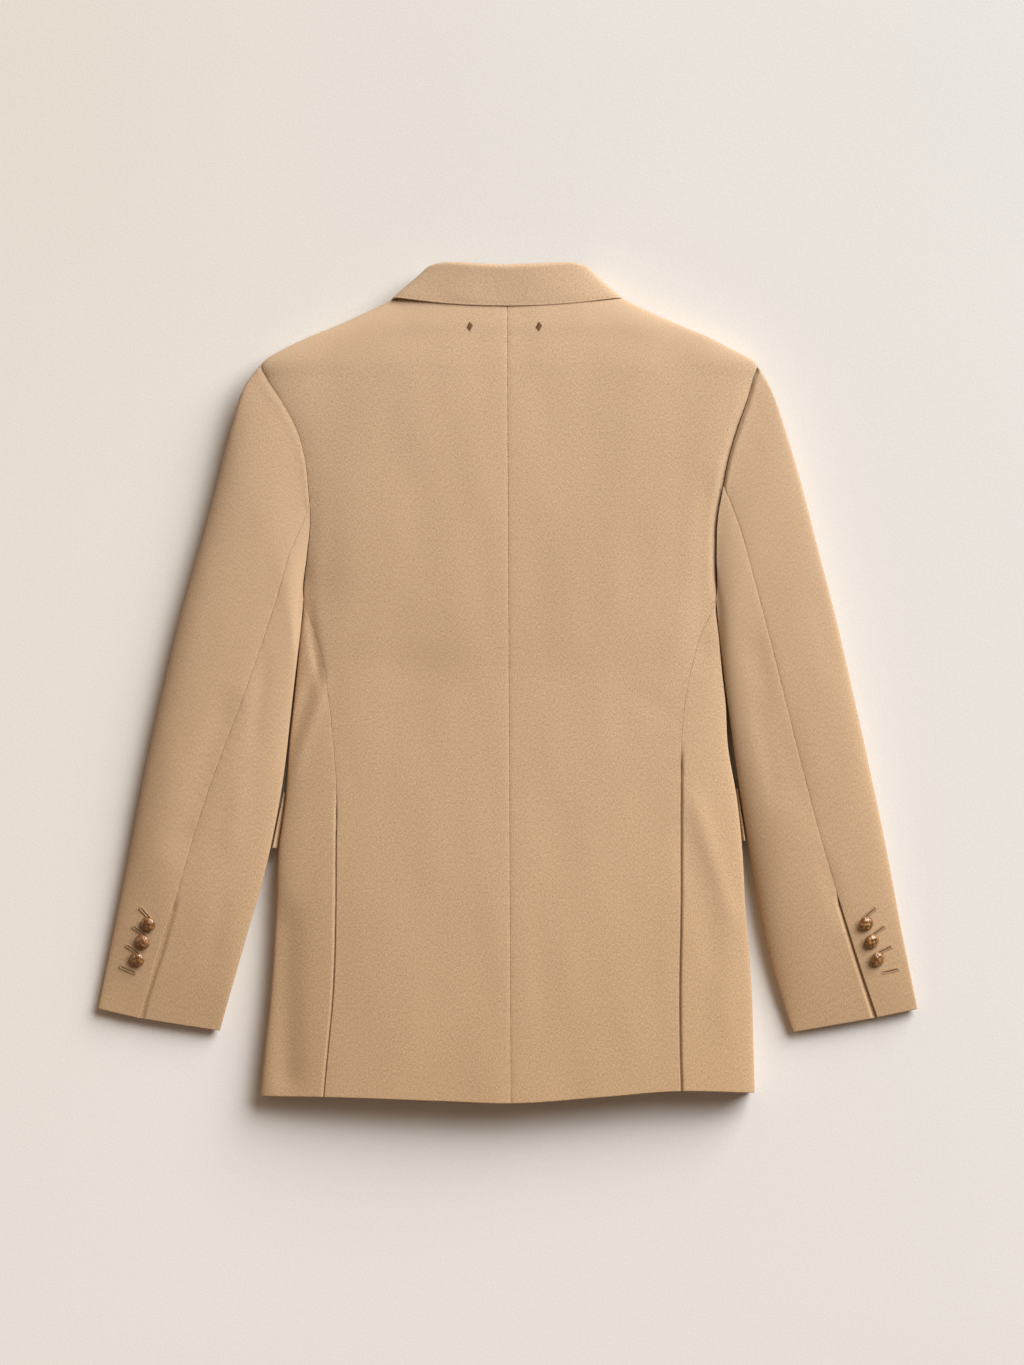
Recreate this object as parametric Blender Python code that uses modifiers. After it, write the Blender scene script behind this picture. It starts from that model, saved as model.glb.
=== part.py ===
"""A double breasted blazer lying face down, as the pieces it is sewn from.

Lengths are in millimetres until a mesh is made. +Z is up, +Y runs from the hem to the collar, and the
garment's own left is at -X. The body is a flattened ring at each height: the back and the side panels
are its crowned upper part, and the fronts its flat lower part. Each sleeve is a row of flattened rings
from the armhole to the cuff. Every panel is a stretch of such rings, an open surface that Solidify
thickens inwards.
"""

import bpy
import numpy as np
from mathutils import Vector

MM = 0.001

# Cloth and seams
CLOTH = 1.2
COLLAR_CLOTH = 1.6
HALF_SEAM = 0.16
HALF_SLEEVE_SEAM = 0.3
ARMHOLE_SEAM = 0.7

# The body ring
CENTRE_AT_HEM = 3.2
CENTRE_AT_COLLAR = -0.5
BODY_ROUND = 2.6
HEM_Y = -398.5
HEM_FADE = 60.0
UNDERARM_Y = 80.0
SHOULDER_TIP_Y = 302.5
NECK_Y = 366.5
FOLD_WIDTH = 9.0
SHOULDER_FOLD_WIDTH = 20.0
SHOULDER_FOLD_START_Y = 285.0
SHOULDER_FOLD_REACH = 30.0
TROUGH_TAPER = 40.0

# Side and cuff vents
VENT_TOP = {-1: -96.0, 1: -80.0}
VENT_SLOPE = 72.0
VENT_LAP = 26.0
VENT_STEP = 2.3
VENT_STEP_REACH = 16.0
VENT_TURN = 0.6
VENT_BESIDE = 12.0
CUFF_VENT_TOP = 0.79
CUFF_VENT_LAP = 12.0
CUFF_VENT_TURN = 0.8
CUFF_VENT_BESIDE = 9.0

# The double breasted front
FRONT_LAP = 75.0
BREAK_Y = 0.0
FACING_LIFT = 2.7
BUTTON_LIFT = 5.6
OVERLAP_LIFT = 3.6
LAPEL_DROP = 1.9
ROLL_GAP = 0.5
FLAP_BOW = 3.0

# How far from the middle each lift is still whole, and where it has ended
FACING_REACH = (135.0, 170.0)
BUTTON_REACH = (86.0, 130.0)

# Buttons
CUFF_BUTTON_RADIUS = 7.4
CUFF_BUTTON_HEIGHT = 4.6
CUFF_BUTTON_SET_BACK = 18.3
CUFF_BUTTON_HEIGHTS = (83.0, 66.5, 50.0)
FRONT_BUTTON_RADIUS = 10.5
FRONT_BUTTON_HEIGHT = 5.2
FRONT_BUTTON_X = 60.0
FRONT_BUTTON_YS = (-14.0, -111.0, -208.0)
BUTTON_GAP = 0.35

# The sleeve ring
ELBOW_LENGTH = 520.0
SLEEVE_ROUND = 2.4
SLEEVE_FLAT = 0.85
FRONT_SEAM_SHARE = 0.8
FRONT_SEAM_SPREAD = 2.5
HEAD_BLEND = 0.16
ARMHOLE_PULL = 0.22


def ease(t):
    """A smooth step from 0 to 1 as t goes from 0 to 1."""
    t = np.clip(t, 0.0, 1.0)
    return t * t * (3 - 2 * t)


def smooth(at, knots, values):
    """A cubic Hermite curve through the values, each knot's slope being that of its two neighbours."""
    knots = np.asarray(knots, float)
    values = np.asarray(values, float)
    slopes = np.gradient(values, knots)
    at = np.clip(at, knots[0], knots[-1])
    i = np.clip(np.searchsorted(knots, at) - 1, 0, len(knots) - 2)
    span = knots[i + 1] - knots[i]
    t = (at - knots[i]) / span
    start = (1 + 2 * t) * (1 - t) ** 2 * values[i] + t * (1 - t) ** 2 * span * slopes[i]
    end = t * t * (3 - 2 * t) * values[i + 1] - t * t * (1 - t) * span * slopes[i + 1]
    return start + end


def table(names, *rows):
    """A function for each named column after the first, which gives its value at any first-column value."""
    columns = dict(zip(names.split(), np.array(rows, float).T))
    first = names.split()[0]
    return {
        name: (lambda at, values=values: smooth(at, columns[first], values))
        for name, values in columns.items()
    }


# One row per section of the body. fold: the side fold's distance from the middle. back: the back panel's
# outer edge, which is the side-back seam, then the armhole, then the shoulder fold. under: the seam of
# side panel and front. crown and rim: the heights at the middle and at the side fold.
BODY = table(
    "y       fold_left fold_right back_left back_right under  crown  rim",
    (-398.5, 234.6,    233.9,     173.9,    163.8,     180.0, 30.0,  6.0),
    (-350.0, 230.5,    233.1,     169.8,    162.8,     176.0, 31.0,  6.0),
    (-300.0, 225.2,    231.9,     165.2,    162.3,     172.0, 32.0,  6.0),
    (-205.0, 219.0,    224.9,     162.3,    163.8,     166.0, 33.0,  6.5),
    (-160.0, 217.0,    222.5,     162.1,    163.8,     163.0, 33.0,  6.5),
    (-112.0, 210.5,    217.7,     161.6,    163.8,     159.0, 32.5,  6.5),
    (-57.0,  206.4,    208.5,     165.3,    164.8,     157.0, 31.5,  6.5),
    (-20.0,  202.6,    206.6,     169.0,    168.0,     157.0, 31.0,  6.5),
    (10.0,   199.6,    203.2,     173.4,    173.4,     161.0, 31.0,  6.8),
    (40.0,   196.8,    200.4,     180.6,    181.6,     169.0, 32.0,  7.2),
    (80.0,   194.0,    197.9,     193.5,    197.4,     184.5, 33.0,  8.0),
    (120.0,  204.0,    211.0,     190.3,    198.0,     184.5, 33.8,  9.5),
    (153.0,  212.0,    218.0,     187.0,    198.9,     184.5, 34.5,  11.0),
    (182.0,  218.0,    224.0,     188.7,    203.7,     184.5, 35.0,  12.0),
    (215.0,  223.5,    229.0,     192.6,    210.4,     184.5, 35.5,  12.5),
    (240.0,  227.0,    232.0,     200.2,    217.9,     184.5, 35.8,  13.0),
    (268.0,  230.5,    234.4,     215.3,    227.6,     184.5, 36.0,  13.0),
    (288.0,  232.0,    235.6,     228.2,    232.8,     184.5, 36.0,  13.0),
    (302.5,  232.8,    235.4,     232.8,    235.4,     184.5, 36.0,  13.0),
    (317.5,  209.2,    209.4,     209.2,    209.4,     184.5, 35.5,  13.0),
    (328.0,  187.2,    189.0,     187.2,    189.0,     184.5, 35.0,  13.0),
    (338.0,  162.4,    164.8,     162.4,    164.8,     184.5, 34.0,  12.5),
    (350.5,  134.8,    136.2,     134.8,    136.2,     184.5, 32.0,  12.0),
    (363.4,  108.9,    109.8,     108.9,    109.8,     184.5, 29.5,  11.5),
    (366.5,  103.5,    104.5,     103.5,    104.5,     184.5, 29.0,  11.5),
)

# The rows of points that every body panel shares, below the underarm and above it. The front's folds over
# what lies under it start and end on these rows.
LOW_ROWS = (HEM_Y, -350, -300, -255, -220, -185, -168, -96, -80, -40, 0, 40, 60, UNDERARM_Y)
HIGH_ROWS = (84, 118, 155, 192, 216, 240, 262, 282, SHOULDER_TIP_Y, 314, 327, 340, 353, NECK_Y)

# How much of each lift the front has at a height: over its facing, over the buttons, over the flap and,
# on the left front, over the right one.
LIFT = (
    # y     facing button flap overlap
    (-255.0, 0.0,  0.0,   0.0, 1.0),
    (-220.0, 0.0,  1.0,   0.0, 1.0),
    (-185.0, 0.0,  1.0,   0.0, 1.0),
    (-168.0, 0.0,  1.0,   1.0, 1.0),
    (-96.0,  0.0,  1.0,   1.0, 1.0),
    (-80.0,  0.0,  1.0,   0.0, 1.0),
    (0.0,    1.0,  1.0,   0.0, 1.0),
    (40.0,   1.0,  0.0,   0.0, 1.0),
    (192.0,  1.0,  0.0,   0.0, 1.0),
    (240.0,  1.0,  0.0,   0.0, 0.0),
)

# One row per section of a sleeve, from the armhole to the cuff: points on its outer fold, its elbow seam
# and its inner fold, and its heights at the middle and at the folds. x is the distance from the middle.
SLEEVE_LEFT = table(
    "along  outer_x outer_y elbow_x elbow_y inner_x inner_y crown rim",
    (0.00,  232.8,  302.5,  188.6,  173.4,  194.9,  80.3,   34.0, 12.0),
    (0.04,  247.6,  283.6,  195.2,  153.9,  196.3,  63.5,   33.0, 11.5),
    (0.10,  260.6,  247.7,  206.5,  124.9,  198.2,  38.4,   31.0, 11.0),
    (0.18,  273.5,  198.6,  217.4,  84.9,   201.2,  5.0,    29.0, 10.5),
    (0.28,  289.6,  137.1,  233.1,  35.6,   205.9,  -36.7,  27.0, 10.0),
    (0.40,  310.2,  63.8,   253.9,  -23.0,  211.9,  -86.8,  25.0, 9.0),
    (0.52,  328.3,  -10.4,  276.0,  -81.1,  220.3,  -136.3, 23.5, 8.5),
    (0.64,  344.4,  -85.0,  295.8,  -139.8, 231.2,  -185.4, 21.5, 8.0),
    (0.76,  358.9,  -159.9, 313.0,  -199.8, 245.4,  -233.6, 19.0, 7.0),
    (0.88,  374.1,  -234.8, 331.4,  -259.0, 259.7,  -282.1, 16.5, 6.5),
    (1.00,  389.0,  -309.7, 348.9,  -318.9, 273.0,  -330.6, 14.5, 6.0),
)
SLEEVE_RIGHT = table(
    "along  outer_x outer_y elbow_x elbow_y inner_x inner_y crown rim",
    (0.00,  235.4,  302.5,  202.9,  188.6,  199.3,  80.3,   34.0, 12.0),
    (0.04,  248.5,  280.6,  211.0,  169.3,  200.6,  61.7,   33.0, 11.5),
    (0.10,  261.4,  244.9,  221.8,  139.6,  202.4,  36.7,   31.0, 11.0),
    (0.18,  276.0,  196.4,  233.3,  98.9,   205.7,  3.5,    29.0, 10.5),
    (0.28,  292.0,  135.1,  246.9,  47.9,   211.1,  -38.0,  27.0, 10.0),
    (0.40,  311.0,  61.7,   262.4,  -13.5,  217.9,  -87.7,  25.0, 9.0),
    (0.52,  328.0,  -12.5,  277.8,  -75.0,  225.4,  -137.2, 23.5, 8.5),
    (0.64,  344.3,  -86.7,  293.9,  -136.4, 233.1,  -186.8, 21.5, 8.0),
    (0.76,  360.0,  -161.0, 311.6,  -197.1, 242.1,  -236.1, 19.0, 7.0),
    (0.88,  374.1,  -235.7, 330.0,  -257.8, 254.6,  -284.6, 16.5, 6.5),
    (1.00,  389.0,  -309.9, 350.0,  -318.1, 270.8,  -332.0, 14.5, 6.0),
)
SLEEVES = {-1: SLEEVE_LEFT, 1: SLEEVE_RIGHT}
SLEEVE_ROWS = (
    # from  to              rows
    (0.0,   0.04,           1),
    (0.04,  0.28,           5),
    (0.28,  0.76,           8),
    (0.76,  CUFF_VENT_TOP,  1),
    (CUFF_VENT_TOP, 1.0,    4),
)

# The hem's height above its lowest line, from the left side to the right.
HEM = table(
    "x       rise",
    (-234.0, 6.4),
    (-174.0, 5.8),
    (-64.0,  2.2),
    (3.0,    0.0),
    (88.0,   5.8),
    (160.0,  11.4),
    (234.0,  9.8),
)

# The right half of the collar, from the centre back round the neck to its front end: points on the roll,
# on the fall's edge and on the stand's edge.
COLLAR = table(
    "at   roll_x roll_y roll_z fall_x fall_y fall_z stand_x stand_y stand_z",
    (0,   0.0,   395.8, 28.8,  0.0,   356.4, 33.4,  0.0,    363.0,  25.2),
    (1,   30.0,  397.2, 28.4,  32.0,  357.0, 33.2,  30.0,   363.0,  24.8),
    (2,   56.0,  398.5, 26.6,  63.0,  359.2, 31.4,  55.0,   363.0,  22.6),
    (3,   69.0,  396.0, 22.0,  89.0,  362.2, 26.8,  75.0,   363.0,  18.2),
    (4,   74.5,  392.6, 16.0,  107.4, 364.6, 18.8,  88.0,   364.0,  14.0),
    (5,   75.5,  390.0, 11.0,  114.2, 363.8, 11.5,  93.0,   364.0,  10.8),
    (5.5, 75.2,  388.4, 8.4,   113.3, 361.8, 4.4,   93.0,   363.0,  9.4),
    (6,   74.5,  386.0, 5.6,   112.4, 356.0, 1.5,   92.0,   360.0,  8.2),
    (7,   70.5,  375.0, 3.0,   110.5, 342.0, 0.0,   90.0,   351.0,  6.4),
    (8,   60.0,  345.0, 2.9,   104.0, 308.0, 0.0,   79.0,   328.0,  6.2),
    (9,   46.0,  314.0, 2.9,   97.0,  280.0, 0.0,   60.0,   305.0,  6.2),
    (10,  31.0,  287.0, 2.9,   88.0,  258.0, 0.0,   43.0,   286.0,  6.2),
)
COLLAR_ROLL = 2.9
COLLAR_STATIONS = (0.0, 1.0, 2.0, 3.0, 3.5, 4.0, 4.5, 5.0, 5.5, 6.0, 6.5, 7.0, 8.0, 9.0, 10.0)

# The turned-out lapel's width out from the roll line, up to its peak and back along the gorge.
LAPEL = (
    # y     width
    (0.0,   3.0),
    (40.0,  26.0),
    (84.0,  48.0),
    (118.0, 63.0),
    (155.0, 78.0),
    (192.0, 93.0),
    (222.0, 106.0),
    (279.0, 4.0),
)
LAPEL_ROWS = (0.0, 40.0, 84.0, 118.0, 155.0, 192.0, 222.0, 240.0, 262.0, 279.0)

# The front's neck edge, which starts at the top of the roll line, and the flap's corners.
NECK_EDGE = ((34.0, 279.0), (78.0, 330.0), (101.0, NECK_Y))
FLAP_CORNERS = {
    -1: ((78.0, -108.0), (212.6, -104.5), (221.2, -157.0), (80.0, -160.0)),
    1: ((78.0, -104.0), (218.6, -100.5), (225.6, -150.0), (80.0, -156.0)),
}

# The largest folds, as straight troughs: both ends, the half width and the depth.
FOLDS = (
    (-176.0, 232.0, -170.0, 70.0, 16.0, 2.6),
    (190.0, 190.0, 184.0, 20.0, 12.0, 2.0),
    (-186.0, 20.0, -196.0, -60.0, 12.0, 2.4),
    (182.0, -110.0, 200.0, -190.0, 12.0, 3.0),
    (-206.0, -250.0, -204.0, -370.0, 12.0, 2.4),
    (-262.0, -20.0, -312.0, -160.0, 14.0, 1.8),
    (242.0, 40.0, 288.0, -120.0, 14.0, 1.8),
)


def fold_depth(x, y):
    """How far the folds sink the cloth: a bell across each, tapering off at its ends."""
    depth = np.zeros(np.broadcast(x, y).shape)
    for x0, y0, x1, y1, width, most in FOLDS:
        length = np.hypot(x1 - x0, y1 - y0)
        along = ((x - x0) * (x1 - x0) + (y - y0) * (y1 - y0)) / length
        across = ((x - x0) * (y1 - y0) - (y - y0) * (x1 - x0)) / length
        taper = ease(along / TROUGH_TAPER + 0.5) * ease((length - along) / TROUGH_TAPER + 0.5)
        depth += most * taper * np.exp(-((across / width) ** 2))
    return depth


# The body


def centre(y):
    """The centre-back seam's x, which drifts a little from collar to hem."""
    return CENTRE_AT_COLLAR + (CENTRE_AT_HEM - CENTRE_AT_COLLAR) * (y - NECK_Y) / (HEM_Y - NECK_Y)


def from_centre(name, side, y):
    """A left or right column of the body table, measured from the centre-back seam."""
    suffix = "_left" if side < 0 else "_right"
    return BODY[name + suffix](y) - side * centre(y)


def fold_width(y):
    """How far in from its outermost line the side fold has turned to lie flat."""
    rise = ease((y - SHOULDER_FOLD_START_Y) / SHOULDER_FOLD_REACH)
    return FOLD_WIDTH + (SHOULDER_FOLD_WIDTH - FOLD_WIDTH) * rise


def body_ring(side, y, turn, lift):
    """Points of the half ring: turn 0 is the top's middle, 1 the side fold, 2 the flat, 3 its middle.

    The top is a superellipse from the crown to the rim, the fold a quarter ellipse down to the flat.
    """
    width = from_centre("fold", side, y)
    crown = BODY["crown"](y)
    rim = BODY["rim"](y)
    top = np.clip(turn, 0, 1) * np.pi / 2
    corner = np.clip(turn - 1, 0, 1) * np.pi / 2
    flat = np.maximum(turn - 2, 0)
    tuck = fold_width(y)
    out = width * np.sin(top) ** (2 / BODY_ROUND) - tuck * (1 - np.cos(corner))
    out = out - (width - tuck) * flat
    x = centre(y) + side * out
    z = rim * (1 - np.sin(corner)) + (crown - rim) * np.cos(top)
    z = z - fold_depth(x, y) * np.cos(top) ** 0.5 + lift(x, y) * np.sin(corner)
    return x, z


def top_turn(side, y, out):
    """The turn at which the top of the ring is this far from the centre seam."""
    share = np.clip(out / from_centre("fold", side, y), 0, 1)
    return np.arcsin(share ** (BODY_ROUND / 2)) * 2 / np.pi


def under_turn(side, y, out):
    """The turn at which the underside of the ring is this far from the centre seam."""
    width = from_centre("fold", side, y)
    tuck = fold_width(y)
    corner = np.arccos(np.clip(1 - (width - out) / tuck, 0, 1)) * 2 / np.pi
    return np.where(out > width - tuck, 1 + corner, 2 + (width - tuck - out) / (width - tuck))


def hem_shift(x, y):
    """How far the hem's own line lifts a row of points, fading out above the hem."""
    return HEM["rise"](x) * ease(1 - (y - HEM_Y) / HEM_FADE)


def no_lift(x, y):
    return np.zeros(np.broadcast(x, y).shape)


def ramp(distance, full, none):
    """1 up to one distance, falling straight to 0 at another."""
    return np.clip((none - distance) / (none - full), 0, 1)


def lift_share(column, y):
    """One column of the lift table at a height, straight between its rows."""
    rows = np.array(LIFT)
    return np.interp(y, rows[:, 0], rows[:, ("y", "facing", "button", "flap", "overlap").index(column)])


def lift_right(x, y):
    """The right front lies lowest, over its facing, its flap and the buttons."""
    facing = FACING_LIFT * lift_share("facing", y) * ramp(np.abs(x), *FACING_REACH)
    button_row = BUTTON_LIFT * lift_share("button", y) * ramp(np.abs(x), *BUTTON_REACH)
    pocket = FACING_LIFT * lift_share("flap", y)
    return np.maximum(np.maximum(facing, button_row), pocket)


def lift_left(x, y):
    """The left front also lies over the right one and, between them, its own lapel."""
    return lift_right(x, y) + OVERLAP_LIFT * lift_share("overlap", y) * ramp(-x, *BUTTON_REACH)


LIFTS = {-1: lift_left, 1: lift_right}

# Making solids


def make_material(name, colour, roughness):
    material = bpy.data.materials.new(name)
    material.use_nodes = True
    shader = material.node_tree.nodes["Principled BSDF"]
    shader.inputs["Base Color"].default_value = (*colour, 1)
    shader.inputs["Roughness"].default_value = roughness
    shader.inputs["Metallic"].default_value = 0.0
    return material


def add(name, mesh, kind):
    """Links an object with its own material of a kind, shaded smooth."""
    mesh.materials.append(make_material(name, **KINDS[kind]))
    mesh.shade_smooth()
    obj = bpy.data.objects.new(name, mesh)
    blazer.objects.link(obj)
    return obj


def panel(name, x, y, z, turned, thickness=CLOTH, kind="wool"):
    """An open grid surface with its wall inwards. turned reverses the faces of a mirrored grid."""
    points = np.stack(np.broadcast_arrays(x, y, z), axis=-1)
    rows, columns = points.shape[:2]
    index = np.arange(rows * columns).reshape(rows, columns)
    quads = np.stack([index[:-1, :-1], index[:-1, 1:], index[1:, 1:], index[1:, :-1]], axis=-1)
    quads = quads.reshape(-1, 4)
    if turned:
        quads = quads[:, ::-1]
    mesh = bpy.data.meshes.new(name)
    mesh.from_pydata((points.reshape(-1, 3) * MM).tolist(), [], quads.tolist())
    obj = add(name, mesh, kind)
    wall = obj.modifiers.new("wall", "SOLIDIFY")
    wall.thickness = thickness * MM
    wall.offset = -1
    wall.use_quality_normals = True
    return obj


def button(name, radius, height, place, facing):
    """A domed button with a flat back, standing on its place and facing outwards."""
    profile = [(0, 1), (0.5, 0.93), (0.84, 0.68), (1, 0.34), (0.9, 0.06), (0.55, 0), (0, 0)]
    mesh = bpy.data.meshes.new(name)
    points = [(x * radius * MM, 0, z * height * MM) for x, z in profile]
    mesh.from_pydata(points, [(i, i + 1) for i in range(len(points) - 1)], [])
    obj = add(name, mesh, "button")
    turn = obj.modifiers.new("turn", "SCREW")
    turn.steps = 12
    turn.render_steps = 12
    turn.use_merge_vertices = True
    turn.merge_threshold = 0.00001
    obj.rotation_mode = "QUATERNION"
    obj.rotation_quaternion = facing.to_track_quat("Z", "Y")
    obj.location = place
    return obj


# The body's panels


def back(side):
    """From the centre seam out to the side seam, the armhole and the shoulder fold."""
    y = np.array(LOW_ROWS + HIGH_ROWS, float)[:, None]
    armhole_edge = (y > UNDERARM_Y) & (y < SHOULDER_TIP_Y)
    edge = from_centre("back", side, y) - HALF_SEAM - np.where(armhole_edge, ARMHOLE_SEAM / 2, 0)
    start = top_turn(side, y, HALF_SEAM)
    end = np.where(y < SHOULDER_TIP_Y, top_turn(side, y, edge), 1.0)
    turn = start + (end - start) * np.linspace(0, 1, 10)
    x, z = body_ring(side, y, turn, no_lift)
    return x, y + hem_shift(x, y), z


def side_panel(side):
    """From the side-back seam round the fold to the front seam, with the vent's lap under the back."""
    y = np.array(LOW_ROWS, float)[:, None]
    y[-1] -= ARMHOLE_SEAM
    seam = from_centre("back", side, y) + HALF_SEAM
    lap = VENT_LAP * np.clip((VENT_TOP[side] - y) / VENT_SLOPE, 0, 1)
    step = VENT_STEP * np.clip((VENT_TOP[side] - y) / VENT_STEP_REACH + 1, 0, 1)
    beside = np.minimum(seam + VENT_BESIDE, (seam + from_centre("fold", side, y)) / 2)
    near = [top_turn(side, y, out) for out in (seam - lap, np.minimum(seam + VENT_TURN, beside), beside)]
    end = under_turn(side, y, BODY["under"](y) - side * centre(y) + HALF_SEAM)
    half_way = (near[-1] + 1) / 2
    fold = [np.full_like(y, turn) for turn in (1.0, 1.33, 1.67)]
    flat = np.minimum(2.0, end - 0.02)
    turn = np.concatenate(near + [half_way] + fold + [flat, end], axis=1)
    x, z = body_ring(side, y, turn, LIFTS[side])
    z[:, :2] -= step
    return x, y + hem_shift(x, y), z


def front(side):
    """From the side seam, the armhole and the shoulder fold in to the front edge and the roll line."""
    y = np.array(LOW_ROWS + HIGH_ROWS, float)[:, None]
    under = BODY["under"](y) - side * centre(y) - HALF_SEAM
    armhole_edge = from_centre("back", side, y) - HALF_SEAM - ARMHOLE_SEAM / 2
    edge = np.where(y <= UNDERARM_Y, under, armhole_edge)
    start = np.where(y < SHOULDER_TIP_Y, under_turn(side, y, edge), 1.1)
    knots_y = [HEM_Y, BREAK_Y] + [point[1] for point in NECK_EDGE]
    knots_x = [-FRONT_LAP, -FRONT_LAP] + [point[0] for point in NECK_EDGE]
    end = under_turn(side, y, np.interp(y, knots_y, knots_x) - side * centre(y))
    turn = start + (end - start) * np.linspace(0, 1, 9)
    x, z = body_ring(side, y, turn, LIFTS[side])
    return x, y + hem_shift(x, y), z


def lapel(side):
    """The facing turned out along the roll line, under its front and, on the left, over the right one."""
    y = np.array(LAPEL_ROWS)[:, None]
    top_x, top_y = NECK_EDGE[0]
    roll = -FRONT_LAP + (top_x + FRONT_LAP) * (y - BREAK_Y) / (top_y - BREAK_Y)
    width = np.interp(y, *np.array(LAPEL).T)
    x = side * (roll + ROLL_GAP + width * np.linspace(0, 1, 6))
    if side > 0:
        return x, y, no_lift(x, y)
    return x, y, lift_left(x, y) - LAPEL_DROP


def flap(side):
    """A flat flap between its four corners, with a slight bow along its lower edge."""
    a, b, c, d = np.array(FLAP_CORNERS[side]) * (side, 1)
    u = np.linspace(0, 1, 8)[None, :, None]
    v = np.linspace(0, 1, 4)[:, None, None]
    points = (a * (1 - u) + b * u) * (1 - v) + (d * (1 - u) + c * u) * v
    y = points[..., 1] - FLAP_BOW * v[..., 0] * np.sin(np.pi * u[..., 0])
    return points[..., 0], y, np.zeros_like(y)


def collar():
    """Leaves of the fall and the stand, joined by a half-round roll, round the whole neck."""
    half = np.array(COLLAR_STATIONS)
    at = np.concatenate([-half[:0:-1], half])
    mirror = np.where(at < 0, -1.0, 1.0)
    lines = {}
    for name in ("roll", "fall", "stand"):
        point = [COLLAR[name + axis](np.abs(at)) for axis in ("_x", "_y", "_z")]
        lines[name] = np.stack([mirror * point[0], point[1], point[2]], axis=-1)
    roll, fall, stand = lines["roll"], lines["fall"], lines["stand"]
    way = roll - (fall + stand) / 2
    way /= np.linalg.norm(way, axis=1)[:, None]
    out = fall - stand
    out -= (out * way).sum(axis=1)[:, None] * way
    out /= np.linalg.norm(out, axis=1)[:, None]
    arc = []
    for angle in np.radians([90, 45, 0, -45, -90]):
        arc.append(roll + COLLAR_ROLL * (way * (np.cos(angle) - 1) + out * np.sin(angle)))
    leaf = [fall + (arc[0] - fall) * t for t in (0, 0.4, 0.75)]
    inner = [arc[-1] + (stand - arc[-1]) * t for t in (0.5, 1)]
    points = np.stack(leaf + arc + inner, axis=1)
    return points[..., 0], points[..., 1], points[..., 2]


# The sleeves


def armhole(side, share):
    """The armhole's line in plan, from the shoulder tip to the underarm, on the seam's sleeve side."""
    y = SHOULDER_TIP_Y + (UNDERARM_Y - SHOULDER_TIP_Y) * share
    gap = ARMHOLE_SEAM / 2 + HALF_SEAM
    return centre(y) + side * (from_centre("back", side, y) + gap), y


def row_point(side, along, share):
    """A point in plan on a sleeve's row: outer fold, elbow seam and inner fold joined by straight runs."""
    sleeve = SLEEVES[side]
    ends = {}
    for name in ("outer", "elbow", "inner"):
        ends[name] = np.array([side * sleeve[name + "_x"](along), sleeve[name + "_y"](along)])
    elbow = elbow_share(side, along)
    first = np.clip(share / elbow, 0, 1)
    second = np.clip((share - elbow) / (1 - elbow), 0, 1)
    upper_run = (ends["elbow"] - ends["outer"]) * first
    under_run = (ends["inner"] - ends["elbow"]) * second
    x, y = ends["outer"] + upper_run + under_run
    return x, y


def elbow_share(side, along):
    """How far across a sleeve's row, from the outer fold, its elbow seam lies."""
    sleeve = SLEEVES[side]
    outer = np.hypot(
        sleeve["outer_x"](along) - sleeve["elbow_x"](along),
        sleeve["outer_y"](along) - sleeve["elbow_y"](along),
    )
    inner = np.hypot(
        sleeve["inner_x"](along) - sleeve["elbow_x"](along),
        sleeve["inner_y"](along) - sleeve["elbow_y"](along),
    )
    return outer / (outer + inner)


def row_width(side, along):
    """The straight distance from a row's outer fold to its inner fold."""
    sleeve = SLEEVES[side]
    return np.hypot(
        sleeve["outer_x"](along) - sleeve["inner_x"](along),
        sleeve["outer_y"](along) - sleeve["inner_y"](along),
    )


def sleeve_ring(side, along, angle):
    """Points of a sleeve's ring: angle 0 is the outer fold, 90 degrees the top, 180 the inner fold.

    The top is a superellipse. The underside is flat, with quarter-round corners up to the folds. The
    first rows are pulled over to the armhole's own curve, and ease into the body ring's heights there.
    """
    cosine = np.cos(angle)
    offset = np.sign(cosine) * np.abs(cosine) ** (2 / SLEEVE_ROUND)
    share = (1 - offset) / 2
    x, y = row_point(side, along, share)
    seam_x, seam_y = armhole(side, share)
    start_x, start_y = row_point(side, np.zeros_like(along), share)
    pull = ease(1 - along / ARMHOLE_PULL) * (1 - along)
    x = x + (seam_x - start_x) * pull
    y = y + (seam_y - start_y) * pull
    sleeve = SLEEVES[side]
    rim = sleeve["rim"](along)
    top = rim + (sleeve["crown"](along) - rim) * np.abs(np.sin(angle))
    edge = np.clip((np.abs(offset) - SLEEVE_FLAT) / (1 - SLEEVE_FLAT), 0, 1)
    bottom = rim * (1 - np.sqrt(1 - edge**2))
    seam_out = side * (seam_x - centre(seam_y)) - ARMHOLE_SEAM - 2 * HALF_SEAM
    body_top = body_ring(side, seam_y, top_turn(side, seam_y, seam_out), no_lift)[1]
    body_bottom = body_ring(side, seam_y, under_turn(side, seam_y, seam_out), LIFTS[side])[1]
    near = ease(1 - along / HEAD_BLEND)
    top = top + (body_top - top) * near
    bottom = bottom + (body_bottom - bottom) * near
    upper = 0.5 + 0.5 * np.sign(np.round(np.sin(angle), 6))
    z = top * upper + bottom * (1 - upper)
    return x, y, z - fold_depth(x, y) * upper * np.abs(np.sin(angle))


def angle_at(share):
    """The ring's angle, on its top, at a share of the row's width."""
    offset = 1 - 2 * np.clip(share, 0, 1)
    return np.arccos(np.sign(offset) * np.abs(offset) ** (SLEEVE_ROUND / 2))


def front_seam(side, along, toward):
    """The front seam's share of the row, half a gap to either side.

    The gap opens by the armhole, where the seam runs almost along the rows.
    """
    gap = HALF_SLEEVE_SEAM * (1 + FRONT_SEAM_SPREAD * ease(1 - along / HEAD_BLEND))
    return FRONT_SEAM_SHARE + toward * gap / row_width(side, along)


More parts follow.
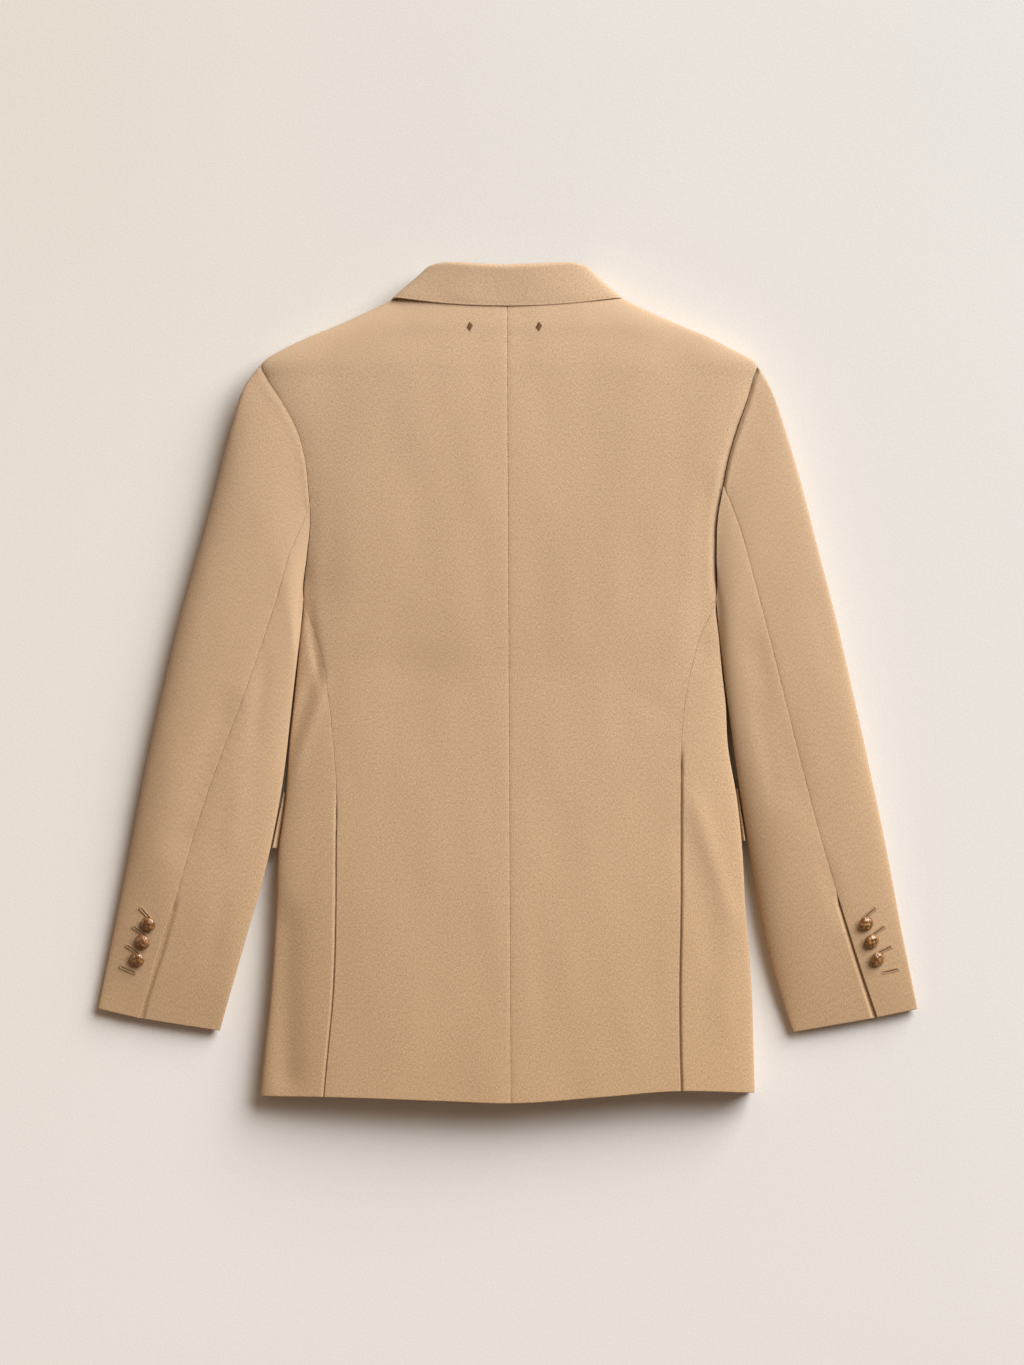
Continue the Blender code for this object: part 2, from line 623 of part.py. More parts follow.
def sleeve_rows():
    """Rows from the armhole to the cuff, one of them at the top of the cuff vent."""
    rows = [np.linspace(low, high, steps, endpoint=False) for low, high, steps in SLEEVE_ROWS]
    return np.append(np.concatenate(rows), 1.0)[:, None]


def top_sleeve(side):
    """From the elbow seam over the outer fold and under to the front seam."""
    along = sleeve_rows()
    elbow = angle_at(elbow_share(side, along) - HALF_SLEEVE_SEAM / row_width(side, along))
    end = -angle_at(front_seam(side, along, -1))
    angle = elbow + (end - elbow) * np.linspace(0, 1, 14)
    return sleeve_ring(side, along, angle)


def under_sleeve(side):
    """From the front seam round the inner fold to the elbow seam, with the cuff vent's lap."""
    along = sleeve_rows()
    width = row_width(side, along)
    lap = CUFF_VENT_LAP * np.clip((along - CUFF_VENT_TOP) / 0.05, 0, 1)
    step = VENT_STEP * np.clip((along - CUFF_VENT_TOP) / 0.03 + 1, 0, 1)
    seam = elbow_share(side, along) + HALF_SLEEVE_SEAM / width
    near = [seam - lap / width, seam + CUFF_VENT_TURN / width, seam + CUFF_VENT_BESIDE / width]
    near = np.concatenate([angle_at(share) for share in near], axis=1)
    end = 2 * np.pi - angle_at(front_seam(side, along, 1))
    start = near[:, -1:]
    angle = np.concatenate([near, start + (end - start) * np.linspace(0, 1, 8)[1:]], axis=1)
    x, y, z = sleeve_ring(side, along, angle)
    z[:, :2] -= step
    return x, y, z


def cuff_buttons(side, word):
    """Three buttons up the top sleeve, set back from the vent's edge and square to the cloth there."""
    for number, height in enumerate(CUFF_BUTTON_HEIGHTS, 1):
        along = np.full((1, 1), 1 - height / ELBOW_LENGTH)
        share = elbow_share(side, along) - CUFF_BUTTON_SET_BACK / row_width(side, along)
        shares = (share - 0.04, share, share + 0.04)
        tips = [np.array(sleeve_ring(side, along, angle_at(place))).ravel() for place in shares]
        across = tips[2] - tips[0]
        normal = Vector((-across[2] * np.sign(across[0]), 0, abs(across[0]))).normalized()
        place = Vector(tips[1]) + normal * BUTTON_GAP
        name = f"cuff_button_{word}_{number}"
        button(name, CUFF_BUTTON_RADIUS, CUFF_BUTTON_HEIGHT, place * MM, normal)


def front_buttons():
    """Two rows of three, under the overlapping fronts and facing down."""
    for side, word in ((-1, "left"), (1, "right")):
        for number, y in enumerate(FRONT_BUTTON_YS, 1):
            place = Vector((side * FRONT_BUTTON_X, y, BUTTON_LIFT - BUTTON_GAP)) * MM
            name = f"front_button_{word}_{number}"
            button(name, FRONT_BUTTON_RADIUS, FRONT_BUTTON_HEIGHT, place, Vector((0, 0, -1)))


KINDS = {
    "wool": {"colour": (0.58, 0.385, 0.215), "roughness": 0.85},
    "button": {"colour": (0.20, 0.075, 0.03), "roughness": 0.35},
}

for old in list(bpy.data.objects):
    bpy.data.objects.remove(old, do_unlink=True)
blazer = bpy.data.collections.new("double_breasted_blazer")
bpy.context.scene.collection.children.link(blazer)

panel("collar", *collar(), turned=True, thickness=COLLAR_CLOTH)
for side, word in ((-1, "left"), (1, "right")):
    mirrored = side < 0
    panel(f"back_{word}", *back(side), turned=mirrored)
    panel(f"side_{word}", *side_panel(side), turned=mirrored)
    panel(f"front_{word}", *front(side), turned=mirrored)
    panel(f"lapel_{word}", *lapel(side), turned=not mirrored)
    panel(f"flap_{word}", *flap(side), turned=mirrored)
    panel(f"top_sleeve_{word}", *top_sleeve(side), turned=not mirrored)
    panel(f"under_sleeve_{word}", *under_sleeve(side), turned=mirrored)
    cuff_buttons(side, word)
front_buttons()
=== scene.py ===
"""The looks of a double breasted blazer that lies face down on a pale surface.

Every panel is a closed sheet of cloth. A panel starts as a fine grid on the garment's own form, which is
worked out from the cutting tables below: a flattened ring at each height of the body, a row of
flattened rings down each sleeve, and leaves and a roll for the collar. Grids are in millimetres, +Z up,
+Y from hem to collar, and become metres when a mesh is made.
"""

import bpy
import numpy as np
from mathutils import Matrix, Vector


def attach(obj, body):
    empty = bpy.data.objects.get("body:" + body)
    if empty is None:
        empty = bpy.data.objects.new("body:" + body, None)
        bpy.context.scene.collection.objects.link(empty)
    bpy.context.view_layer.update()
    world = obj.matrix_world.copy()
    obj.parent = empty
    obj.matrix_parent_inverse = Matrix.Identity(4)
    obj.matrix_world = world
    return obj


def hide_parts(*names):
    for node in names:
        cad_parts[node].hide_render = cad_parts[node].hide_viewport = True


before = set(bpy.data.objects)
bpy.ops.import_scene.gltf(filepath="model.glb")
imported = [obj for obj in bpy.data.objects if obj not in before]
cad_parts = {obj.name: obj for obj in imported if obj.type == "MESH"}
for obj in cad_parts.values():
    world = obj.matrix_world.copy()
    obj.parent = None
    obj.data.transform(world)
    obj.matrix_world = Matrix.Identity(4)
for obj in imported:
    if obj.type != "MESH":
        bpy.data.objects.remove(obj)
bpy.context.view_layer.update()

MM = 0.001
# What a node's name ends with, by the sign of its side
SIDES = {-1: "_left", 0: "", 1: "_right"}
DOWN = np.array([0.0, 0.0, -1.0])

# ---- sizes

# Cloth: half its thickness, half the gap at a seam, how sharply a sewn edge turns in, the width of a seam's
# groove, the length over which a crease tapers off, and the seed of the back's unevenness
HALF_CLOTH = 0.6
HALF_COLLAR = 0.9
SEAM_GAP = 0.02
SHARP = 3.3
DIP_WIDTH = 1.7
CREASE_TAPER = 40.0
BACK_LIE = 31

# How far apart the grids' rows and columns are, and their steps in from an edge. The steps shrink on a sheet
# that is narrower than a few times their sum.
ROWS_APART = 3.2
FINE_APART = 1.5
UNDER_ROWS_APART = 4.6
UNDER_SLEEVE_APART = 2.0
COLLAR_APART = 2.6
FLAP_APART = 2.4
WIDENING = (1.3, 2.3, 4.0, 6.2)
NARROW = 2.6

# The body ring. Numbers by side are for -1, the left, and 1, the right. The round is the power of the top's
# superellipse, a rim's share is how much nearer to the crown it stands than its table says, and a fold's
# width is how far in it has turned to lie flat.
CENTRE_AT_HEM = 3.2
CENTRE_AT_COLLAR = -0.5
BODY_ROUND = {-1: 2.6, 1: 3.0}
RIM_SHARE = {-1: 0.2, 1: 0.55}
SHOULDER_RIM_SHARE = {-1: 0.25, 1: 0.55}
HEM_Y = -398.5
HEM_FADE = 60.0
UNDERARM_Y = 80.0
SHOULDER_TIP_Y = 302.5
NECK_Y = 366.5
FOLD_WIDTH = {-1: 9.0, 1: 4.5}
SHOULDER_FOLD_WIDTH = {-1: 16.0, 1: 4.5}
SHOULDER_FOLD_START_Y = 285.0
SHOULDER_FOLD_REACH = 30.0
# Along the shoulder, the back ends and the front starts at these turns, just past the fold
TOP_END = 1.04
UNDER_START = 1.05

# The armhole's seam, which sinks into a groove: its depth at each height, a slit in its middle, and how far
# each reaches and fades
ARMHOLE_SINK = {
    -1: ((80.0, 1.8), (150.0, 1.0), (230.0, 0.3), (300.0, 0.0)),
    1: ((80.0, 3.2), (200.0, 3.4), (300.0, 3.4)),
}
ARMHOLE_SLIT = {-1: 0.0, 1: 1.0}
ARMHOLE_SLIT_WIDTH = 1.6
ARMHOLE_REACH = {-1: 9.0, 1: 4.5}
UNDERARM_FADE = 20.0
SHOULDER_FADE = 60.0
TIP_FADE = 6.0
SLEEVE_SINK = {-1: 0.15, 1: 2.9}
SLEEVE_SINK_REACH = 2.4
# The swelling beside it: how high, how far in and how wide
SLEEVE_SWELL = (0.3, 5.0, 3.5)

# How plainly each side-back seam shows
SIDE_SEAM = {-1: 0.4, 1: 0.05}

# Side and cuff vents: the lap under the upper edge widens over the slope, lies a step lower, clear of the
# edge by a little, and comes up to the surface over the slant. The cuff's places are shares of its sleeve.
VENT_TOP = {-1: -128.0, 1: -84.0}
VENT_SLOPE = 72.0
VENT_LAP = 26.0
VENT_STEP = {-1: 1.7, 1: 2.8}
VENT_STEP_REACH = 30.0
VENT_CLEAR = 0.6
VENT_SLANT = 1.7
VENT_FADE = 30.0
CUFF_VENT_TOP = 0.79
CUFF_VENT_LAP = 12.0
CUFF_VENT_SLOPE = 0.05
CUFF_VENT_FADE = 0.03
CUFF_VENT_CLEAR = 0.8
CUFF_VENT_SLANT = 3.0

# The double breasted front: its lap past the middle, where the roll line starts, and what the layers under
# it lift it by, out to each reach, then the flap's depth, its lower edge's bow and its curl
FRONT_LAP = 75.0
BREAK_Y = 0.0
FACING_LIFT = 2.7
BUTTON_LIFT = 5.6
OVERLAP_LIFT = 3.6
LAPEL_DROP = 1.9
FACING_REACH = (135.0, 170.0)
BUTTON_REACH = (86.0, 130.0)
FLAP_DEPTH = 50.0
FLAP_BOW = 3.0
FLAP_CURL = 9.5

# Buttons
BUTTON_GAP = 0.35
CUFF_BUTTON_RADIUS = 7.4
CUFF_BUTTON_HEIGHT = 4.6
CUFF_BUTTON_RISE = BUTTON_GAP + 0.21 * CUFF_BUTTON_RADIUS
CUFF_BUTTON_SET_BACK = 18.3
CUFF_BUTTON_HEIGHTS = (83.0, 66.5, 50.0)
# Each cuff buttonhole: how far its middle is up the sleeve from its button and further back from the seam,
# and how far it leans, in degrees. The last is below the third button.
CUFF_HOLES = {
    -1: ((6.6, 5.3, 14), (6.6, 5.5, 6), (6.0, 6.0, 6), (-11.8, 5.3, 0)),
    1: ((6.4, 6.4, 9), (5.3, 8.8, 7), (4.8, 8.8, 0), (-13.8, 8.3, -9)),
}
CUFF_BUTTON_TILT = 33.0
FRONT_BUTTON_RADIUS = 10.5
FRONT_BUTTON_HEIGHT = 4.5
FRONT_BUTTON_X = 60.0
FRONT_BUTTON_YS = (-14.0, -111.0, -208.0)
FRONT_HOLE_SHIFT = 2.0
CUFF_HOLE_LENGTH = 15.0
FRONT_HOLE_LENGTH = 22.0
# A button's dome and straps: shares of its height and of its radius, then millimetres
DOME_SHARE = 0.86
STRAP_WIDTH = 0.51
STRAPS_APART = 0.56
STRAP_HALF_DEPTH = 0.62
WEAVE_RISE = 0.55

# Stitches: the pick stitches' pitch, how far in from the edges they run and half of each one's three
# sizes, and the pitch of a buttonhole's purls
STITCH_PITCH = 4.6
COLLAR_STITCH_IN = 3.0
EDGE_STITCH_IN = 4.0
STITCH = (0.95, 0.3, 0.22)
PURL_PITCH = 0.62

# The two marks below the collar
MARK_XS = (-35.7, 29.8)
MARK_Y = 337.2

# The sleeve ring: the elbow seam's length, the power of the top's superellipse, shares of the ring, and how
# far along, as shares, the sleeve's head blends into the body and is pulled to the armhole
ELBOW_LENGTH = 520.0
SLEEVE_ROUND = {-1: 2.8, 1: 3.2}
RIGHT_FACING_SHARE = 0.6
SLEEVE_FLAT = 0.85
FRONT_SEAM_SHARE = 0.8
HEAD_BLEND = 0.16
ARMHOLE_PULL = 0.22

# The floor, light and camera
CAMERA_DISTANCE = 10.0
CAMERA_X = 0.0042
VIEW_HEIGHT = 1.2967
SENSOR = 36.0
FLOOR_HALF = 6.0
FLOOR_Z = -0.0003


# ---- curves


def ease(t):
    """A smooth step from 0 to 1 as t goes from 0 to 1."""
    t = np.clip(t, 0.0, 1.0)
    return t * t * (3 - 2 * t)


def bell(t):
    """1 at 0, falling off both ways as exp(-t squared)."""
    return np.exp(-(t**2))


def blend(first, second, share):
    """From the first value to the second as share goes from 0 to 1."""
    return first + (second - first) * share


def signed_power(value, power):
    """A power of the value's size, with the value's own sign."""
    return np.sign(value) * np.abs(value) ** power


def unit(vectors):
    """Vectors made 1 long."""
    return vectors / np.maximum(np.linalg.norm(vectors, axis=-1, keepdims=True), 1e-12)


def lengths(points, axis=0):
    """How far each point is along its line, from 0 at the line's start."""
    steps = np.linalg.norm(np.diff(points, axis=axis), axis=-1)
    start = np.zeros_like(np.take(steps, [0], axis=axis))
    return np.concatenate([start, np.cumsum(steps, axis=axis)], axis=axis)


def between(rows, at):
    """Straight between a table's rows of places and values."""
    return np.interp(at, *np.array(rows).T)


def smooth(at, knots, values):
    """A cubic Hermite curve through the values, each knot's slope being that of its two neighbours."""
    knots = np.asarray(knots, float)
    values = np.asarray(values, float)
    slopes = np.gradient(values, knots)
    at = np.clip(at, knots[0], knots[-1])
    i = np.clip(np.searchsorted(knots, at) - 1, 0, len(knots) - 2)
    span = knots[i + 1] - knots[i]
    t = (at - knots[i]) / span
    start = (1 + 2 * t) * (1 - t) ** 2 * values[i] + t * (1 - t) ** 2 * span * slopes[i]
    end = t * t * (3 - 2 * t) * values[i + 1] - t * t * (1 - t) * span * slopes[i + 1]
    return start + end


def table(names, *rows):
    """A function for each named column, which gives its value at any first-column value."""
    columns = dict(zip(names.split(), np.array(rows, float).T))
    knots = columns[names.split()[0]]
    return {name: (lambda at, values=values: smooth(at, knots, values)) for name, values in columns.items()}


def waves(x, y, length, seed, count=9):
    """Soft unevenness of about 0 to 1 in size: a sum of plane cosine waves of many directions."""
    draw = np.random.RandomState(seed)
    total = np.zeros(np.broadcast(x, y).shape)
    for _ in range(count):
        turn, phase, stretch = draw.uniform(0, 2 * np.pi, 3)
        wave = 2 * np.pi / (length * (0.7 + 0.6 * stretch / (2 * np.pi)))
        total += np.cos(wave * (x * np.cos(turn) + y * np.sin(turn)) + phase)
    return total / np.sqrt(count)


# ---- cutting tables

# One row per section of the body. fold: the side fold's distance from the middle. back: the back panel's
# outer edge, which is the side-back seam, then the armhole, then the shoulder fold. under: the seam of
# side panel and front. crown and rim: the heights at the middle and at the side fold.
BODY = table(
    "y fold_left fold_right back_left back_right under crown rim",
    (-398.5, 234.6, 233.9, 173.9, 163.8, 180, 37.5, 12),
    (-350, 230.5, 233.1, 169.8, 162.8, 176, 36.8, 12),
    (-300, 225.2, 231.9, 165.2, 162.3, 172, 36, 12),
    (-205, 219, 224.9, 162.3, 163.8, 166, 34.6, 12),
    (-160, 217, 222.5, 162.1, 163.8, 163, 33.6, 12),
    (-112, 210.5, 217.7, 161.6, 163.8, 159, 32.5, 12),
    (-57, 206.4, 208.5, 165.3, 164.8, 157, 31.5, 12.5),
    (-20, 202.6, 206.6, 169, 168, 157, 31, 12.5),
    (10, 199.6, 203.2, 173.4, 173.4, 161, 31, 13),
    (40, 196.8, 200.4, 180.6, 181.6, 169, 32, 13),
    (80, 194, 197.9, 193.5, 197.4, 184.5, 33, 14),
    (120, 204, 211, 190.3, 198, 184.5, 33.8, 15),
    (153, 212, 218, 187, 198.9, 184.5, 34.5, 16),
    (182, 218, 224, 188.7, 203.7, 184.5, 35, 17),
    (215, 223.5, 229, 192.6, 210.4, 184.5, 35.5, 17.5),
    (240, 227, 232, 200.2, 217.9, 184.5, 35.8, 18),
    (268, 230.5, 234.4, 215.3, 227.6, 184.5, 36, 18),
    (288, 232, 235.6, 228.2, 232.8, 184.5, 36, 18),
    (302.5, 232.8, 235.4, 232.8, 235.4, 184.5, 36, 18),
    (317.5, 209.2, 209.4, 209.2, 209.4, 184.5, 35.5, 17.5),
    (328, 187.2, 189, 187.2, 189, 184.5, 35, 17),
    (338, 162.4, 164.8, 162.4, 164.8, 184.5, 34.8, 16),
    (350.5, 134.8, 136.2, 134.8, 136.2, 184.5, 33.6, 14.5),
    (363.4, 108.9, 109.8, 108.9, 109.8, 184.5, 32.2, 12.5),
    (366.5, 103.5, 104.5, 103.5, 104.5, 184.5, 31.9, 12),
)

# How much of each lift the front has at a height: over its facing, over the buttons, over the flap and,
# on the left front, over the right one.
LIFT = {
    "facing": ((-80, 0), (0, 1)),
    "button": ((-255, 0), (-220, 1), (0, 1), (40, 0)),
    "flap": ((-185, 0), (-168, 1), (-96, 1), (-80, 0)),
    "overlap": ((192, 1), (240, 0)),
}

# One row per section of a sleeve, from the armhole to the cuff: points on its outer fold, its elbow seam
# and its inner fold, and its heights at the middle and at the folds. x is the distance from the middle.
SLEEVE_COLUMNS = "along outer_x outer_y elbow_x elbow_y inner_x inner_y crown rim"
SLEEVE_LEFT = table(
    SLEEVE_COLUMNS,
    (0, 232.8, 302.5, 188.6, 173.4, 194.9, 80.3, 34, 17),
    (0.04, 247.6, 283.6, 195.2, 153.9, 196.3, 63.5, 33.4, 17),
    (0.1, 260.6, 247.7, 206.5, 124.9, 198.2, 38.4, 32.6, 16),
    (0.18, 273.5, 198.6, 217.4, 84.9, 201.2, 5, 31.8, 15.5),
    (0.28, 289.6, 137.1, 233.1, 35.6, 205.9, -36.7, 31, 15),
    (0.4, 310.2, 63.8, 253.9, -23, 211.9, -86.8, 30.4, 14),
    (0.52, 328.3, -10.4, 276, -81.1, 220.3, -136.3, 29.6, 13),
    (0.64, 344.4, -85, 295.8, -139.8, 231.2, -185.4, 28, 12),
    (0.76, 358.9, -159.9, 313, -199.8, 245.4, -233.6, 24.6, 10.5),
    (0.88, 374.1, -234.8, 331.4, -259, 259.7, -282.1, 18.4, 9.5),
    (1, 389, -309.7, 348.9, -318.9, 273, -330.6, 10.6, 8),
)
SLEEVE_RIGHT = table(
    SLEEVE_COLUMNS,
    (0, 235.4, 302.5, 202.9, 188.6, 199.3, 80.3, 34, 17),
    (0.04, 248.5, 280.6, 211, 169.3, 200.6, 61.7, 33.4, 18),
    (0.1, 261.4, 244.9, 221.8, 139.6, 202.4, 36.7, 32.6, 20),
    (0.18, 276, 196.4, 233.3, 98.9, 205.7, 3.5, 31.8, 21),
    (0.28, 292, 135.1, 246.9, 47.9, 211.1, -38, 31, 21),
    (0.4, 311, 61.7, 262.4, -13.5, 217.9, -87.7, 30.4, 18.5),
    (0.52, 328, -12.5, 277.8, -75, 225.4, -137.2, 29.6, 15),
    (0.64, 344.3, -86.7, 293.9, -136.4, 233.1, -186.8, 28, 12),
    (0.76, 360, -161, 311.6, -197.1, 242.1, -236.1, 24.6, 10.5),
    (0.88, 374.1, -235.7, 330, -257.8, 254.6, -284.6, 18.4, 9.5),
    (1, 389, -309.9, 350, -318.1, 270.8, -332, 10.6, 8),
)
SLEEVES = {-1: SLEEVE_LEFT, 1: SLEEVE_RIGHT}

# The hem's height above its lowest line, from the left side to the right.
HEM = table("x rise", (-234, 6.4), (-174, 5.8), (-64, 2.2), (3, 0), (88, 5.8), (160, 11.4), (234, 9.8))

# The right half of the collar, from the centre back round the neck to its front end: points on the roll,
# on the fall's edge and on the stand's edge.
COLLAR = table(
    "at roll_x roll_y roll_z fall_x fall_y fall_z stand_x stand_y stand_z",
    (0, 0, 395.8, 34.5, 0, 356.4, 34.4, 0, 363, 30.2),
    (1, 30, 397.2, 34.1, 32, 357, 34.2, 30, 363, 29.8),
    (2, 56, 398.5, 32.5, 63, 359.2, 33, 55, 363, 28.2),
    (3, 69, 396, 30, 88.5, 362.2, 31.2, 75, 363, 25.6),
    (4, 74.5, 392.6, 26, 104.6, 364.4, 28.2, 87, 364, 21.8),
    (5, 75.5, 390, 19, 110, 363.6, 21, 93, 364, 16),
    (5.5, 75.2, 388.4, 13, 111, 361.6, 12.5, 93, 363, 12),
    (6, 74.5, 386, 7.6, 111.6, 356, 4.4, 92, 360, 9.4),
    (7, 70.5, 375, 3, 110.5, 342, 0, 90, 351, 6.4),
    (8, 60, 345, 2.9, 104, 308, 0, 79, 328, 6.2),
    (9, 46, 314, 2.9, 97, 280, 0, 60, 305, 6.2),
    (10, 31, 287, 2.9, 88, 258, 0, 43, 286, 6.2),
)
COLLAR_ROLL = 2.9
COLLAR_STATION = 24.0

# The turned-out lapel's width out from the roll line at each y, up to its peak and back along the gorge.
LAPEL = ((0, 3), (40, 26), (84, 48), (118, 63), (155, 78), (192, 93), (222, 106), (279, 4))

# The front's neck edge, which starts at the top of the roll line, and the flap's corners.
NECK_EDGE = ((34, 279), (78, 330), (101, NECK_Y))
FLAP_CORNERS = {
    -1: ((78, -108), (212.8, -104.5), (223.4, -157), (80, -160)),
    1: ((78, -104), (218.6, -100.5), (225.6, -150), (80, -156)),
}

# Creases in the cloth's upper side, as straight soft troughs, or ridges where the depth is below 0:
# both ends, the half width and the depth.
CREASES = (
    # the back, beside the armholes
    (-176, 232, -170, 70, 18, 0.6),
    (190, 190, 184, 20, 12, 2),
    (-150, 205, -158, 60, 16, -0.3),
    (168, 215, 162, 90, 14, 0.8),
    (-196, 130, -186, 62, 6, 0.9),
    # the waist
    (-189, 70, -178, 4, 5, 2.6),
    (-184, 6, -212, -74, 7, 3.2),
    (-172, 0, -204, -92, 6, -1.4),
    (-140, 34, -178, -12, 10, 0.7),
    (120, -10, 160, -34, 12, 0.5),
    (-60, 6, -130, 22, 20, 0.5),
    # the side panels
    (176, -108, 216, -232, 9, -1.7),
    (166, -140, 200, -270, 14, 1.2),
    (204, -206, 208, -330, 11, -0.8),
    (-212, -215, -210, -392, 15, 4.4),
    (-188, -130, -192, -230, 12, 0.3),
    # the shoulders
    (-96, 330, -196, 288, 14, 0.6),
    (96, 330, 190, 292, 14, 0.5),
    # the sleeves
    (-262, -20, -312, -160, 14, 1.8),
    (230, 40, 276, -120, 13, 1.1),
    (-228, 262, -240, 236, 5, 1.1),
    (-212, 236, -226, 212, 5, 0.9),
    (-243, 284, -252, 262, 5, 0.8),
    (233, 270, 246, 246, 5, 0.8),
    (226, 236, 240, 214, 6, 0.7),
    (-230, 20, -240, -60, 9, 1.1),
    (-252, -92, -262, -160, 10, -0.8),
    (-284, 120, -300, 40, 11, -0.6),
    (294, 84, 310, 8, 12, 0.8),
    (236, -20, 254, -110, 9, 1),
    (300, -170, 322, -236, 9, 0.9),
    (-330, -60, -348, -140, 10, 0.7),
    (-268, -200, -282, -270, 10, 0.8),
)

# How far the cuff vents' edges stand apart, from the vent's top to the cuff.
CUFF_GAPE = {
    -1: ((0.78, 0), (0.83, 2), (0.88, 3.2), (0.93, 1.2), (0.955, 0.4), (1, 2.4)),
    1: ((0.78, 0), (0.84, 0.7), (0.92, 1), (1, 1.6)),
}


def crease_depth(x, y):
    """How far the creases sink the cloth: a bell across each, tapering off at its ends."""
    depth = np.zeros(np.broadcast(x, y).shape)
    for x0, y0, x1, y1, width, most in CREASES:
        length = np.hypot(x1 - x0, y1 - y0)
        along = ((x - x0) * (x1 - x0) + (y - y0) * (y1 - y0)) / length
        across = ((x - x0) * (y1 - y0) - (y - y0) * (x1 - x0)) / length
        taper = ease(along / CREASE_TAPER + 0.5) * ease((length - along) / CREASE_TAPER + 0.5)
        depth += most * taper * bell(across / width)
    return depth


# ---- the garment's form


def centre(y):
    """The centre-back seam's x, which drifts a little from collar to hem."""
    return blend(CENTRE_AT_COLLAR, CENTRE_AT_HEM, (y - NECK_Y) / (HEM_Y - NECK_Y))


def from_centre(name, side, y):
    """A left or right column of the body table, measured from the centre-back seam."""
    return BODY[name + SIDES[side]](y) - side * centre(y)


def at_shoulder(y):
    """0 below the shoulder's fold, easing to 1 along it."""
    return ease((y - SHOULDER_FOLD_START_Y) / SHOULDER_FOLD_REACH)


def fold_width(side, y):
    """How far in from its outermost line the side fold has turned to lie flat."""
    return blend(FOLD_WIDTH[side], SHOULDER_FOLD_WIDTH[side], at_shoulder(y))


def body_ring(side, y, turn, lift):
    """Points of the half ring: turn 0 is the top's middle, 1 the side fold, 2 the flat, 3 its middle.

    The top is a superellipse from the crown to the rim, the fold a quarter ellipse down to the flat. The
    shoulders and the right side stand fuller, with a rim nearer to the crown.
    """
    width = from_centre("fold", side, y)
    tuck = fold_width(side, y)
    crown = BODY["crown"](y)
    rim = blend(BODY["rim"](y), crown, blend(RIM_SHARE[side], SHOULDER_RIM_SHARE[side], at_shoulder(y)))
    top = np.clip(turn, 0, 1) * np.pi / 2
    corner = np.clip(turn - 1, 0, 1) * np.pi / 2
    out = width * np.sin(top) ** (2 / BODY_ROUND[side]) - tuck * (1 - np.cos(corner))
    x = centre(y) + side * (out - (width - tuck) * np.maximum(turn - 2, 0))
    z = rim * (1 - np.sin(corner)) + (crown - rim) * np.cos(top)
    return x, z - crease_depth(x, y) * np.cos(top) ** 0.5 + lift(x, y) * np.sin(corner)


def top_turn(side, y, out):
    """The turn at which the top of the ring is this far from the centre seam."""
    share = np.clip(out / from_centre("fold", side, y), 0, 1)
    return np.arcsin(share ** (BODY_ROUND[side] / 2)) * 2 / np.pi


def under_turn(side, y, out):
    """The turn at which the underside of the ring is this far from the centre seam."""
    width = from_centre("fold", side, y)
    tuck = fold_width(side, y)
    corner = np.arccos(np.clip(1 - (width - out) / tuck, 0, 1)) * 2 / np.pi
    return np.where(out > width - tuck, 1 + corner, 2 + (width - tuck - out) / (width - tuck))


def no_lift(x, y):
    return np.zeros(np.broadcast(x, y).shape)


def fade(distance, reach):
    """1 up to reach's first distance, easing to 0 at its second."""
    return ease((reach[1] - distance) / (reach[1] - reach[0]))


def lift_right(x, y):
    """The right front lies lowest, over its facing, its flap and the buttons."""
    facing = FACING_LIFT * between(LIFT["facing"], y) * fade(np.abs(x), FACING_REACH)
    button_row = BUTTON_LIFT * between(LIFT["button"], y) * fade(np.abs(x), BUTTON_REACH)
    return np.maximum(np.maximum(facing, button_row), FACING_LIFT * between(LIFT["flap"], y))


def lift_left(x, y):
    """The left front also lies over the right one and, between them, its own lapel."""
    return lift_right(x, y) + OVERLAP_LIFT * between(LIFT["overlap"], y) * fade(-x, BUTTON_REACH)


LIFTS = {-1: lift_left, 1: lift_right}


def apart(side, along, first, second):
    """The straight distance between two of a sleeve's lines: outer, elbow or inner."""
    sleeve = SLEEVES[side]
    return np.hypot(*(sleeve[first + axis](along) - sleeve[second + axis](along) for axis in ("_x", "_y")))


def elbow_share(side, along):
    """How far across a sleeve's row, from the outer fold, its elbow seam lies."""
    outer = apart(side, along, "outer", "elbow")
    return outer / (outer + apart(side, along, "elbow", "inner"))


def row_point(side, along, share):
    """A point in plan on a sleeve's row: outer fold, elbow seam and inner fold joined by straight runs."""
    sleeve = SLEEVES[side]
    outer, elbow, inner = (
        np.array([side * sleeve[name + "_x"](along), sleeve[name + "_y"](along)])
        for name in ("outer", "elbow", "inner")
    )
    at_elbow = elbow_share(side, along)
    upper_run = (elbow - outer) * np.clip(share / at_elbow, 0, 1)
    return outer + upper_run + (inner - elbow) * np.clip((share - at_elbow) / (1 - at_elbow), 0, 1)


def ring_offset(side, angle):
    """How far a point of a sleeve's ring is from its middle: 1 at the outer fold, -1 at the inner one."""
    return signed_power(np.cos(angle), 2 / SLEEVE_ROUND[side])


def angle_at(side, share):
    """The ring's angle, on its top, at a share of the row's width."""
    return np.arccos(signed_power(1 - 2 * np.clip(share, 0, 1), SLEEVE_ROUND[side] / 2))


